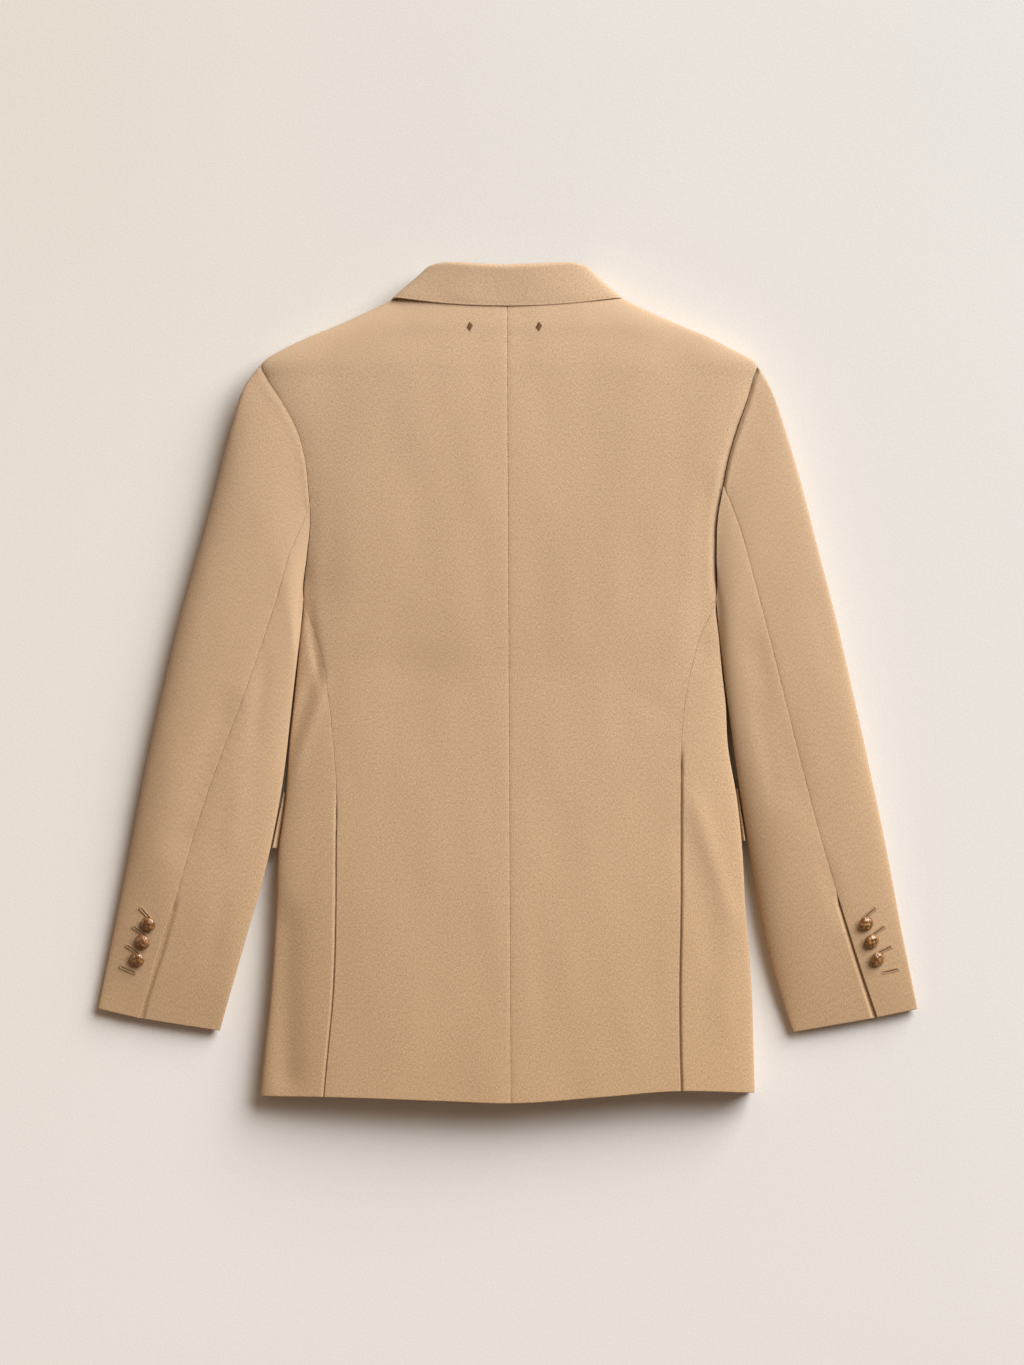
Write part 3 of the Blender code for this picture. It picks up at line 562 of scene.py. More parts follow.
def sleeve_ring(side, along, angle):
    """Points of a sleeve's ring: angle 0 is the outer fold, 90 degrees the top, 180 the inner fold.

    The top is a superellipse. The underside is flat, with quarter-round corners up to the folds. The
    first rows are pulled over to the armhole's own curve, and ease into the body ring's heights there.
    """
    offset = ring_offset(side, angle)
    share = (1 - offset) / 2
    seam_y = blend(SHOULDER_TIP_Y, UNDERARM_Y, share)
    seam_out = from_centre("back", side, seam_y) + SEAM_GAP
    pull = ease(1 - along / ARMHOLE_PULL) * (1 - along)
    start_x, start_y = row_point(side, np.zeros_like(along), share)
    x, y = row_point(side, along, share)
    x = x + (centre(seam_y) + side * seam_out - start_x) * pull
    y = y + (seam_y - start_y) * pull
    crown = SLEEVES[side]["crown"](along)
    rim = SLEEVES[side]["rim"](along)
    rim = blend(rim, crown, RIGHT_FACING_SHARE * ease((1 + side * offset) / 2))
    edge = np.clip((np.abs(offset) - SLEEVE_FLAT) / (1 - SLEEVE_FLAT), 0, 1)
    near = ease(1 - along / HEAD_BLEND)
    body_top = body_ring(side, seam_y, top_turn(side, seam_y, seam_out), no_lift)[1]
    body_bottom = body_ring(side, seam_y, under_turn(side, seam_y, seam_out), LIFTS[side])[1]
    top = blend(blend(rim, crown, np.abs(np.sin(angle))), body_top, near)
    bottom = blend(rim * (1 - np.sqrt(1 - edge**2)), body_bottom, near)
    upper = 0.5 + 0.5 * np.sign(np.round(np.sin(angle), 6))
    sink = crease_depth(x, y) * upper * np.abs(np.sin(angle)) * (1 - near)
    return x, y, blend(bottom, top, upper) - sink


# ---- cloth


def as_grid(x, y, z):
    return np.stack(np.broadcast_arrays(x, y, z), axis=-1)


def edge_steps(half):
    """Distances in from an edge that draw it as a half-round, then widen to the panel's own spacing."""
    return np.concatenate([half * (1 - np.cos(np.radians([0, 30, 60, 90]))), WIDENING])


def spread(points, down, spacing, half=HALF_CLOTH):
    """A dense grid's rows resampled by length, with fixed steps at both ends and even ones between, and
    the distances to all four edges. down is each row's distance down the grid."""
    length = lengths(points, axis=1)
    whole = length[:, -1:]
    near = edge_steps(half)
    near = near * np.minimum(1, whole / (NARROW * near[-1]))
    count = max(4, int(round(float(whole.max()) / spacing)) - 3)
    middle = near[:, -1:] + (whole - 2 * near[:, -1:]) * np.linspace(0, 1, count)[1:-1]
    target = np.concatenate([near, middle, whole - near[:, ::-1]], axis=1)
    i = (length[:, None, :] <= target[:, :, None]).sum(axis=2) - 1
    i = np.clip(i, 0, points.shape[1] - 2)
    row = np.arange(len(points))[:, None]
    share = (target - length[row, i]) / np.maximum(length[row, i + 1] - length[row, i], 1e-9)
    found = blend(points[row, i], points[row, i + 1], share[..., None])
    return found, (target, whole - target, down - down[0], down[-1] - down)


def rows_between(low, high, spacing):
    """Values from low to high with the half-round's own steps at both ends and even ones between."""
    near = edge_steps(HALF_CLOTH)
    count = int(round((high - low - 2 * near[-1]) / spacing)) + 1
    middle = np.linspace(low + near[-1], high - near[-1], count)[1:-1]
    return np.concatenate([low + near, middle, high - near[::-1]])[:, None]


def linked(name, data):
    """An object on the scene's own collection."""
    obj = bpy.data.objects.new(name, data)
    bpy.context.scene.collection.objects.link(obj)
    return obj


def mesh_of(name, points, faces, finish, uv=None):
    """A smooth piece at the origin, from points in millimetres."""
    mesh = bpy.data.meshes.new(name)
    mesh.from_pydata((points * MM).tolist(), [], faces)
    mesh.shade_smooth()
    mesh.materials.append(finish)
    if uv is not None:
        corner = np.empty(len(mesh.loops), np.int32)
        mesh.loops.foreach_get("vertex_index", corner)
        mesh.uv_layers.new(name="cut").data.foreach_set("uv", (uv[corner] * MM).ravel())
    piece = linked(name, mesh)
    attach(piece, "root")
    return piece


def normals_of(points):
    """Unit normals of a grid: the cross product of its steps along the rows and down the columns."""
    return unit(np.cross(np.gradient(points, axis=1), np.gradient(points, axis=0)))


def panel(kind, side, grid, turned, relief=0.0, sewn=(1, 1, 1, 1), half=HALF_CLOTH):
    """A node's cloth: a closed sheet whose outer face is the grid.
    Its two faces lie half a thickness either side of a middle grid, and meet in a half-round at all four
    edges.

    turned reverses a mirrored grid, relief is how far each point is sunk along the normal, and sewn is how
    much sharper than a half-round each edge turns in.
    """
    points, edges = grid
    facing = -1 if turned else 1
    points = points - normals_of(points) * facing * np.asarray(relief)[..., None]
    normal = normals_of(points) * facing
    near = np.minimum.reduce(np.broadcast_arrays(*(edge * sharp for edge, sharp in zip(edges, sewn))))
    depth = half * np.sqrt(1 - (1 - np.clip(near / half, 0, 1)) ** 2)
    middle = points - normal * half
    outer = (middle + normal * depth[..., None]).reshape(-1, 3)
    inner = middle - normal * depth[..., None]
    rows, columns = points.shape[:2]
    front = np.arange(rows * columns).reshape(rows, columns)
    back = front.copy()
    back[1:-1, 1:-1] = rows * columns + np.arange((rows - 2) * (columns - 2)).reshape(rows - 2, columns - 2)
    quads = []
    for index, flip in ((front, turned), (back, not turned)):
        four = np.stack([index[:-1, :-1], index[:-1, 1:], index[1:, 1:], index[1:, :-1]], axis=-1)
        four = four.reshape(-1, 4)
        quads.append(four[:, ::-1] if flip else four)
    uv = np.stack([lengths(points, axis=1), lengths(points, axis=0)], axis=-1)
    node = kind + SIDES[side]
    piece = mesh_of(
        node + "_cloth",
        np.concatenate([outer, inner[1:-1, 1:-1].reshape(-1, 3)]),
        np.concatenate(quads).tolist(),
        WOOL,
        np.concatenate([uv.reshape(-1, 2), uv[1:-1, 1:-1].reshape(-1, 2)]),
    )
    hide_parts(node)


def seam_dip(distance, depth=0.3):
    """A sewn edge draws the cloth in: a narrow groove beside the seam and a wider soft one round it."""
    return depth * bell(distance / DIP_WIDTH) + 0.7 * depth * bell(distance / (4.5 * DIP_WIDTH))


def pucker(distance, along, seed):
    """Faint ripples that a seam's stitches leave, dying out within a centimetre of it."""
    draw = np.random.RandomState(seed)
    ripple = np.zeros(np.broadcast(distance, along).shape)
    for length in (9.0, 14.0, 23.0):
        drift = waves(along, distance * 0, 90.0, draw.randint(1000), 4)
        ripple += np.sin(2 * np.pi * along / length + 2.2 * drift + draw.uniform(0, 6))
    return 0.07 * ripple * bell(distance / 6.5)


def lie(points, seed):
    """The cloth's own unevenness at points as it lies, in millimetres."""
    x, y = points[..., 0], points[..., 1]
    return 0.3 * waves(x, 0.45 * y, 110.0, seed) + 0.09 * waves(x, 0.4 * y, 42.0, seed + 1)


# ---- shader maths


class Line:
    """A node's output. Operators on it, with another Line or a plain number, add Math nodes."""

    def __init__(self, finish, socket):
        self.finish = finish
        self.socket = socket

    def join(self, operation, *terms):
        return self.finish.node("ShaderNodeMath", {"operation": operation}, dict(enumerate(terms)))

    def __add__(self, other):
        return self.join("ADD", self, other)

    def __radd__(self, other):
        return self.join("ADD", other, self)

    def __sub__(self, other):
        return self.join("SUBTRACT", self, other)

    def __rsub__(self, other):
        return self.join("SUBTRACT", other, self)

    def __mul__(self, other):
        return self.join("MULTIPLY", self, other)

    def __rmul__(self, other):
        return self.join("MULTIPLY", other, self)

    def sine(self):
        return self.join("SINE", self)


class Finish:
    """A material on the way: its Principled shader and one method that adds any node."""

    def __init__(self, name, **constants):
        self.material = bpy.data.materials.new(name)
        self.material.use_nodes = True
        self.tree = self.material.node_tree
        self.shader = self.tree.nodes["Principled BSDF"]
        for socket, value in constants.items():
            self.feed(socket.replace("_", " "), value)

    def feed(self, socket, value, node=None):
        """A value or a Line into a named socket of a node, or of the shader itself."""
        socket = (node or self.shader).inputs[socket]
        if isinstance(value, Line):
            self.tree.links.new(value.socket, socket)
        else:
            socket.default_value = value

    def node(self, kind, settings, sockets, take=0):
        """Adds a node: first its settings, a ramp's stops among them, then its sockets' values or links."""
        made = self.tree.nodes.new(kind)
        for name, value in settings.items():
            if name == "stops":
                while len(made.color_ramp.elements) < len(value):
                    made.color_ramp.elements.new(1.0)
                for element, (place, colour) in zip(made.color_ramp.elements, value):
                    element.position = place
                    element.color = colour
            else:
                setattr(made, name, value)
        for name, value in sockets.items():
            self.feed(name, value, made)
        return Line(self, made.outputs[take])

    def ramp(self, value, *stops):
        return self.node("ShaderNodeValToRGB", {"stops": stops}, {0: value})

    def mix(self, share, first, second, blend_type="MIX"):
        settings = {"data_type": "RGBA", "blend_type": blend_type}
        return self.node("ShaderNodeMix", settings, {0: share, 6: first, 7: second}, take=2)

    def noise(self, vector, scale, detail=2.0, stretch=(1.0, 1.0, 1.0)):
        placed = self.node("ShaderNodeMapping", {}, {"Vector": vector, "Scale": stretch})
        sockets = {"Vector": placed, "Scale": scale, "Detail": detail, "Roughness": 0.5}
        return self.node("ShaderNodeTexNoise", {}, sockets)

    def cut(self):
        """The piece's own UV, in metres across and along the cloth."""
        return self.node("ShaderNodeUVMap", {"uv_map": "cut"}, {})

    def place(self):
        return self.node("ShaderNodeTexCoord", {}, {}, take=3)

    def parts(self, vector):
        """A vector's first two parts."""
        split = self.node("ShaderNodeSeparateXYZ", {}, {0: vector})
        return split, Line(self, split.socket.node.outputs[1])

    def bump(self, height, strength, distance):
        sockets = {"Height": height, "Strength": strength, "Distance": distance}
        self.feed("Normal", self.node("ShaderNodeBump", {}, sockets))


def wool(name, light, dark):
    """Fine worsted twill: diagonal ribs 0.9 mm apart across the cloth, yarn slubs and a soft nap. Its colour
    is painted a little paler and cooler towards the collar than towards the hem: a painted falloff of the key
    light."""
    finish = Finish(name, Sheen_Weight=0.05, Sheen_Roughness=0.45, Specular_IOR_Level=0.2)
    finish.feed("Sheen Tint", (1.0, 0.86, 0.68, 1.0))
    cut = finish.cut()
    across, along = finish.parts(cut)
    drift = finish.noise(cut, 60.0, detail=1.0)
    twill = ((across + along * 0.8) * 7000.0 + drift * 3.0).sine()
    warp = finish.noise(cut, 1.0, stretch=(1300.0, 430.0, 1.0))
    weft = finish.noise(cut, 1.0, stretch=(430.0, 1250.0, 1.0))
    fleck = finish.noise(cut, 900.0, detail=1.0)
    soft = finish.noise(finish.place(), 16.0, detail=3.0, stretch=(1.0, 0.3, 1.0))
    yarn = warp * 0.42 + weft * 0.3 + fleck * 0.28
    body = finish.ramp(yarn * 0.9 + soft * 0.06 + twill * 0.03 + 0.02, (0.36, dark), (0.64, light))
    # Painted light: the colour is made paler and cooler towards the collar and darker and warmer towards the
    # hem, standing in for the key light's falloff from top to bottom.
    falloff_share = finish.parts(finish.place())[1] * 1.3 + 0.5
    mottle_and_painted_falloff = finish.mix(falloff_share, (0.95, 0.91, 0.83, 1), (1.03, 1.05, 1.09, 1))
    finish.feed("Base Color", finish.mix(1.0, body, mottle_and_painted_falloff, "MULTIPLY"))
    finish.feed("Roughness", 0.78 + fleck * 0.14)
    finish.bump(twill * 0.35 + warp * 1.1 + weft * 0.7 + fleck * 0.5, 0.28, 0.00022)
    return finish.material


def thread(name, colour):
    """Sewing thread: fine fibres, dark and light, that catch the light a little. The same finish, made very
    dark, paints the shade in the buttonholes' slits.
    """
    finish = Finish(name, Sheen_Weight=0.2, Specular_IOR_Level=0.35)
    fine = finish.noise(finish.place(), 900.0)
    darker = tuple(0.72 * value for value in colour)
    finish.feed("Base Color", finish.mix(fine, darker + (1,), colour + (1,)))
    finish.feed("Roughness", 0.55 + fine * 0.15)
    finish.bump(fine, 0.4, 0.0002)
    return finish.material


def strap_leather(name):
    """Glossy brown leather, mottled lighter and darker at random, with fine grain."""
    finish = Finish(name, Coat_Roughness=0.08, Specular_IOR_Level=0.7)
    grain = finish.noise(finish.place(), 1400.0, detail=3.0)
    mottle_and_painted_falloff = finish.noise(finish.place(), 260.0)
    dark, mid, light = (0.080, 0.030, 0.008, 1), (0.270, 0.118, 0.030, 1), (0.560, 0.310, 0.110, 1)
    stops = ((0.30, dark), (0.52, mid), (0.74, light))
    finish.feed("Base Color", finish.ramp(mottle_and_painted_falloff * 0.75 + grain * 0.25, *stops))
    finish.feed("Roughness", 0.2 + grain * 0.16)
    finish.feed("Coat Weight", 0.35 + mottle_and_painted_falloff * 0.3)
    finish.bump(grain + mottle_and_painted_falloff * 0.5, 0.25, 0.0002)
    return finish.material


WOOL = wool("camel wool", (0.676, 0.478, 0.303, 1), (0.360, 0.250, 0.154, 1))
PICK_THREAD = thread("pick stitch thread", (0.520, 0.335, 0.180))
HOLE_THREAD = thread("buttonhole thread", (0.570, 0.375, 0.205))
MARK_THREAD = thread("brown mark thread", (0.200, 0.100, 0.035))
# Very dark beads for the buttonholes' slits: painted shade where the opening lies in shadow.
SLIT_PAINTED_SHADE = thread("slit shadow", (0.095, 0.045, 0.018))
LEATHER = strap_leather("button leather")


# ---- body panels


def body_grid(side, y, start, end, lift, spacing, dense=240, drop=None):
    """A panel of the body between two turns: its outer face's grid and its distances to all four edges."""
    turn = blend(start, end, np.linspace(0, 1, dense))
    x, z = body_ring(side, y, turn, lift)
    if drop is not None:
        z = z - drop(side * (x - centre(y))) * (turn < 1)
    rise = HEM["rise"](x) * ease(1 - (y - HEM_Y) / HEM_FADE)
    return spread(as_grid(x, y + rise, z), y, spacing)


def back(side):
    """From the centre seam out to the side seam, the armhole and the shoulder fold."""
    y = rows_between(HEM_Y, NECK_Y, ROWS_APART)
    edge = top_turn(side, y, from_centre("back", side, y) - SEAM_GAP)
    end = np.where(y < SHOULDER_TIP_Y, edge, TOP_END)
    points, edges = body_grid(side, y, top_turn(side, y, SEAM_GAP), end, no_lift, ROWS_APART)
    vent = ease((VENT_TOP[side] - y) / VENT_FADE)
    below = 1 - ease((y - SHOULDER_TIP_Y) / TIP_FADE + 1)
    sink = between(ARMHOLE_SINK[side], y) * bell(edges[1] / ARMHOLE_REACH[side])
    sink += ARMHOLE_SLIT[side] * bell(edges[1] / ARMHOLE_SLIT_WIDTH)
    relief = seam_dip(edges[0]) + pucker(edges[0], points[..., 1], 11 + side)
    relief += seam_dip(edges[1]) * np.where(y < UNDERARM_Y, SIDE_SEAM[side], 1.0) * (1 - vent) * below
    relief += pucker(edges[1], points[..., 1], 17 + side) * below
    relief += sink * ease((y - UNDERARM_Y) / UNDERARM_FADE) * ease((SHOULDER_TIP_Y - y) / SHOULDER_FADE)
    relief += lie(points, BACK_LIE) * ease(edges[0] / 30) * ease(edges[1] / 25)
    panel("back", side, (points, edges), side < 0, relief, (SHARP, blend(SHARP, 1, vent), 1, 1))


def side_panel(side):
    """From the side-back seam round the fold to the front seam, with the vent's lap under the back."""
    y = rows_between(HEM_Y, UNDERARM_Y, ROWS_APART)
    seam = from_centre("back", side, y)
    lap = VENT_LAP * np.clip((VENT_TOP[side] - y) / VENT_SLOPE, 0, 1)
    start = top_turn(side, y, seam + SEAM_GAP - lap)
    end = under_turn(side, y, BODY["under"](y) - side * centre(y) + SEAM_GAP)
    step = VENT_STEP[side] * ease((VENT_TOP[side] - y) / VENT_STEP_REACH + 1)

    def drop(out):
        return step * (1 - ease((out - seam - VENT_CLEAR) / VENT_SLANT))

    points, edges = body_grid(side, y, start, end, LIFTS[side], FINE_APART, 400, drop)
    vent = ease((VENT_TOP[side] - y) / VENT_FADE)
    relief = seam_dip(edges[0]) * (1 - vent) * SIDE_SEAM[side] + seam_dip(edges[1])
    relief += pucker(edges[0], points[..., 1], 23 + side) * (1 - vent)
    relief += 0.6 * lie(points, 37) * ease(edges[0] / 30) * ease(edges[1] / 40)
    panel("side", side, (points, edges), side < 0, relief, (blend(SHARP, 1, vent), SHARP, 1, 1))


def front(side):
    """From the side seam, the armhole and the shoulder fold in to the front edge and the roll line."""
    y = rows_between(HEM_Y, NECK_Y, UNDER_ROWS_APART)
    under = BODY["under"](y) - side * centre(y) - SEAM_GAP
    edge = np.where(y <= UNDERARM_Y, under, from_centre("back", side, y) - SEAM_GAP)
    start = np.where(y < SHOULDER_TIP_Y, under_turn(side, y, edge), UNDER_START)
    front_edge = ((HEM_Y, -FRONT_LAP), (BREAK_Y, -FRONT_LAP)) + tuple((y1, x1) for x1, y1 in NECK_EDGE)
    end = under_turn(side, y, between(front_edge, y) - side * centre(y))
    grid = body_grid(side, y, start, end, LIFTS[side], UNDER_ROWS_APART)
    panel("front", side, grid, side < 0, seam_dip(grid[1][0]))


def lapel(side):
    """The facing turned out along the roll line, then flat out to the lapel's edge."""
    top_x, top_y = NECK_EDGE[0]
    y = rows_between(BREAK_Y, top_y, UNDER_ROWS_APART)
    roll = blend(-FRONT_LAP, top_x, (y - BREAK_Y) / (top_y - BREAK_Y))
    x = side * (roll + 0.5 + between(LAPEL, y) * np.linspace(0, 1, 120))
    z = no_lift(x, y) if side > 0 else lift_left(x, y) - LAPEL_DROP
    panel("lapel", side, spread(as_grid(x, y, z), y, UNDER_ROWS_APART), side > 0)


def flap(side):
    """A flap between its four corners: bowed along its lower edge, and curled up round the side fold."""
    a, b, c, d = np.array(FLAP_CORNERS[side]) * (side, 1)
    down = rows_between(0, FLAP_DEPTH, 2.0)
    v = down / FLAP_DEPTH
    u = np.linspace(0, 1, 100)[None, :, None]
    points = blend(blend(a, b, u), blend(d, c, u), v[..., None])
    x = points[..., 0]
    y = points[..., 1] - FLAP_BOW * v * np.sin(np.pi * u[..., 0])
    past = (side * (x - centre(y)) - from_centre("fold", side, y)) / FOLD_WIDTH[side]
    share = np.clip(past + 1, 0, 2)
    z = FLAP_CURL * np.where(share < 1, 1 - np.sqrt(1 - np.minimum(share, 1) ** 2), share)
    panel("flap", side, spread(as_grid(x, y, z), down, FLAP_APART), side < 0)


# ---- collar


def collar_lines(at):
    """Points on the roll, the fall's edge and the stand's edge, at stations left and right of the middle."""
    mirror = np.where(at < 0, -1.0, 1.0)
    lines = []
    for name in ("roll", "fall", "stand"):
        x, y, z = (COLLAR[name + axis](np.abs(at)) for axis in ("_x", "_y", "_z"))
        lines.append(as_grid(mirror * x, y, z))
    return lines


def collar():
    """Leaves of the fall and the stand, joined by a half-round roll, round the whole neck."""
    near = edge_steps(HALF_COLLAR) / COLLAR_STATION
    at = np.concatenate([near - 10, np.linspace(near[-1] - 10, 10 - near[-1], 210)[1:-1], 10 - near[::-1]])
    roll, fall, stand = collar_lines(at)
    way = unit(roll - (fall + stand) / 2)
    out = fall - stand
    out = unit(out - (out * way).sum(axis=1)[:, None] * way)
    arc = []
    for angle in np.radians(np.linspace(90, -90, 13)):
        arc.append(roll + COLLAR_ROLL * (way * (np.cos(angle) - 1) + out * np.sin(angle)))
    leaf = [blend(fall, arc[0], t) for t in np.linspace(0, 0.97, 40)]
    inner = [blend(arc[-1], stand, t) for t in np.linspace(0.03, 1, 30)]
    dense = np.stack(leaf + arc + inner, axis=1)
    points, edges = spread(dense, lengths(fall)[:, None], COLLAR_APART, HALF_COLLAR)
    relief = 0.25 * waves(points[..., 0], points[..., 1], 60.0, 51) * ease(edges[0] / 10)
    relief += 0.22 * bell(edges[0] - COLLAR_STITCH_IN)
    panel("collar", 0, (points, edges), True, relief, half=HALF_COLLAR)


# ---- sleeves


def gape(side, along):
    """How far the cuff vent's edges stand apart."""
    rows = CUFF_GAPE[side]
    return smooth(along, *np.array(rows).T) * (along > rows[0][0])


def sleeve_panel(kind, side, along, start, end, spacing, seeds, drop=None):
    """A panel of the sleeve between two angles, with its seams, its puckers and the cuff vent's plain edge.
    The top sleeve also sinks at the armhole, then swells beside it."""
    share = np.linspace(0, 1, 400)
    x, y, z = sleeve_ring(side, along, blend(start, end, share))
    if drop is not None:
        z = z - drop(share)
    points, edges = spread(as_grid(x, y, z), along * ELBOW_LENGTH, spacing)
    vent = ease((along - CUFF_VENT_TOP) / CUFF_VENT_FADE)
    relief = seam_dip(edges[0], 0.26) * (1 - vent) + seam_dip(edges[1])
    relief += pucker(edges[0], along * ELBOW_LENGTH, seeds[0] + side) * (1 - vent)
    relief += 0.8 * lie(points, seeds[1]) * ease(edges[0] / 20) * ease(edges[2] / 30)
    top = kind == "top_sleeve"
    if top:
        high, inward, wide = SLEEVE_SWELL
        relief += SLEEVE_SINK[side] * bell(edges[2] / SLEEVE_SINK_REACH)
        relief -= high * bell((edges[2] - inward) / wide)
        relief += pucker(edges[2], edges[0], 61 + side) * 1.6
    turned = (side > 0) == top
    panel(kind, side, (points, edges), turned, relief, (blend(SHARP, 1, vent), SHARP, SHARP, 1))


def top_sleeve(side):
    """From the elbow seam over the outer fold and under to the front seam."""
    along = rows_between(0, ELBOW_LENGTH, ROWS_APART) / ELBOW_LENGTH
    width = apart(side, along, "outer", "inner")
    start = angle_at(side, elbow_share(side, along) - (SEAM_GAP + gape(side, along) / 2) / width)
    end = -angle_at(side, FRONT_SEAM_SHARE - SEAM_GAP / width)
    sleeve_panel("top_sleeve", side, along, start, end, ROWS_APART, (67, 41))


def under_sleeve(side):
    """From the elbow seam, with the cuff vent's lap, round the inner fold to the front seam."""
    along = rows_between(0, ELBOW_LENGTH, ROWS_APART) / ELBOW_LENGTH
    width = apart(side, along, "outer", "inner")
    lap = CUFF_VENT_LAP * np.clip((along - CUFF_VENT_TOP) / CUFF_VENT_SLOPE, 0, 1)
    seam = elbow_share(side, along) + SEAM_GAP / width
    start = angle_at(side, seam - lap / width)
    end = 2 * np.pi - angle_at(side, FRONT_SEAM_SHARE + SEAM_GAP / width)
    step = VENT_STEP[side] * ease((along - CUFF_VENT_TOP) / CUFF_VENT_FADE + 1)

    def drop(share):
        angle = blend(start, end, share)
        past_seam = ((1 - ring_offset(side, angle)) / 2 - seam) * width - gape(side, along) / 2
        on_top = 1 - ease((past_seam - CUFF_VENT_CLEAR) / CUFF_VENT_SLANT)
        return step * np.where(angle > np.pi, 0, on_top)

    sleeve_panel("under_sleeve", side, along, start, end, UNDER_SLEEVE_APART, (71, 43), drop)


def on_sleeve(side, height, set_back):
    """A point of the top sleeve this far above the cuff and back from the elbow seam, with its normal and
    the directions across, away from the seam, and up the sleeve."""
    along = np.full((1, 1), 1 - height / ELBOW_LENGTH)
    width = apart(side, along, "outer", "inner")

    def at(rise, back):
        row = along - rise / ELBOW_LENGTH
        share = elbow_share(side, row) - back / width
        return np.array(sleeve_ring(side, row, angle_at(side, share))).ravel()

    across = unit(at(0, set_back + 2) - at(0, set_back - 2))
    up = at(2, set_back) - at(-2, set_back)
    normal = unit(np.cross(across, up))
    return at(0, set_back), normal * np.sign(normal[2]), across, unit(up - (up @ across) * across)


# ---- stitches, buttonholes and marks


def bead():
    """A round-ended bead along x, 1 long each way: rings of six points and a pole at each end."""
    turn = np.radians(np.arange(0, 360, 60))
    rings = [
        as_grid(place, np.sqrt(1 - place**4) * np.cos(turn), np.sqrt(1 - place**4) * np.sin(turn))
        for place in (-0.8, -0.4, 0.4, 0.8)
    ]
    index = np.arange(24).reshape(4, 6)
    ahead = np.roll(index, -1, axis=1)
    near, far, near_ahead, far_ahead = index[:-1], index[1:], ahead[:-1], ahead[1:]
    sides = np.stack([near, far, far_ahead, near, far_ahead, near_ahead], axis=-1).reshape(-1, 3)
    poles = np.full(6, 24)
    first = np.stack([poles, index[0], ahead[0]], axis=-1)
    last = np.stack([poles + 1, ahead[3], index[3]], axis=-1)
    points = np.concatenate(rings + [np.array([[-1.0, 0, 0], [1.0, 0, 0]])])
    return points, np.concatenate([sides, first, last])[:, ::-1]


def beads(name, slot, finish, places, ways, normals, sizes):
    """One piece of many beads: each has its middle, its direction, the cloth's normal and its half length,
    half width and half height."""
    shape, faces = bead()
    places, ways, normals, sizes = np.broadcast_arrays(places, ways, normals, sizes)
    ways = unit(ways)
    beside = unit(np.cross(normals, ways))
    up = np.cross(ways, beside)
    axes = np.stack([ways * sizes[:, :1], beside * sizes[:, 1:2], up * sizes[:, 2:]], axis=1)
    points = places[:, None, :] + np.einsum("pi,kij->kpj", shape, axes)
    offsets = (np.arange(len(places)) * len(shape))[:, None, None]
    piece = mesh_of(name, points.reshape(-1, 3), (faces[None] + offsets).reshape(-1, 3).tolist(), finish)


def along_line(points):
    """Points and directions at the stitches' pitch along a polyline."""
    length = lengths(points)
    at = np.arange(STITCH_PITCH / 2, length[-1], STITCH_PITCH)
    places, ahead = (np.stack([np.interp(d, length, p) for p in points.T], axis=1) for d in (at, at + 0.3))
    return places[:-1], (ahead - places)[:-1]


def collar_stitches():
    """Pick stitches just in from the collar's edge."""
    roll, fall, _ = collar_lines(np.linspace(-9.6, 9.6, 400))
    way = unit(roll - fall)
    line = fall + way * COLLAR_STITCH_IN
    places, ways = along_line(line)
    inward = np.stack([np.interp(places[:, 0], line[:, 0], part) for part in way.T], axis=1)
    beads("collar_pick_stitches", "wool", PICK_THREAD, places, ways, unit(np.cross(ways, inward)), STITCH)


def front_stitches():
    """Pick stitches down the right front's edge, which laps over the left front."""
    y = np.linspace(HEM_Y + 8, BREAK_Y - 4, 200)
    x = np.full_like(y, EDGE_STITCH_IN - FRONT_LAP)
    places, ways = along_line(as_grid(x, y, lift_right(x, y)))
    beads("front_pick_stitches", "wool", PICK_THREAD, places, ways, DOWN, STITCH)


def buttonhole(place, normal, way, length, seed):
    """A worked buttonhole: a purl-stitched edge of short threads square to the slit, all round it, with a
    bar at its inner end. Beads for the edge, and a dark bead in the slit as its painted shade."""
    draw = np.random.RandomState(seed)
    beside = np.cross(normal, way)
    half = length / 2
    threads = [(t, sign * 1.2, beside, 0.95) for sign in (-1, 1) for t in np.arange(-half, half, PURL_PITCH)]
    for angle in np.radians(np.arange(-80, 81, 20)):
        out = way * np.cos(angle) + beside * np.sin(angle)
        threads.append((half + 0.7 * np.cos(angle), 1.3 * np.sin(angle), out, 0.9))
    threads += [(-half - 0.3 + sign * 0.5, 0.0, beside, 1.7) for sign in (-0.6, 0, 0.6)]
    places = [place + way * t + beside * s + normal * 0.12 for t, s, _, _ in threads]
    ways = [w + way * draw.uniform(-0.12, 0.12) for _, _, w, _ in threads]
    sizes = [(size * draw.uniform(0.9, 1.1), 0.33, 0.42) for _, _, _, size in threads]
    # A dark bead along the slit: painted shade of the opening.
    slit = ([place + normal * 0.1], [way], [normal], [(half, 0.42, 0.25)])
    return (places, ways, [normal] * len(threads), sizes), slit


def work_holes(edge_name, slit_name, holes, length, seed):
    """Buttonholes, each at its place, normal and way: one piece of stitched edges and one of dark beads that
    paint the shade in the slits.
    """
    worked = [buttonhole(*hole, length, seed + number) for number, hole in enumerate(holes)]
    for which, (name, finish) in enumerate(((edge_name, HOLE_THREAD), (slit_name, SLIT_PAINTED_SHADE))):
        columns = zip(*(parts[which] for parts in worked))
        beads(name, "wool", finish, *(np.concatenate(column) for column in columns))


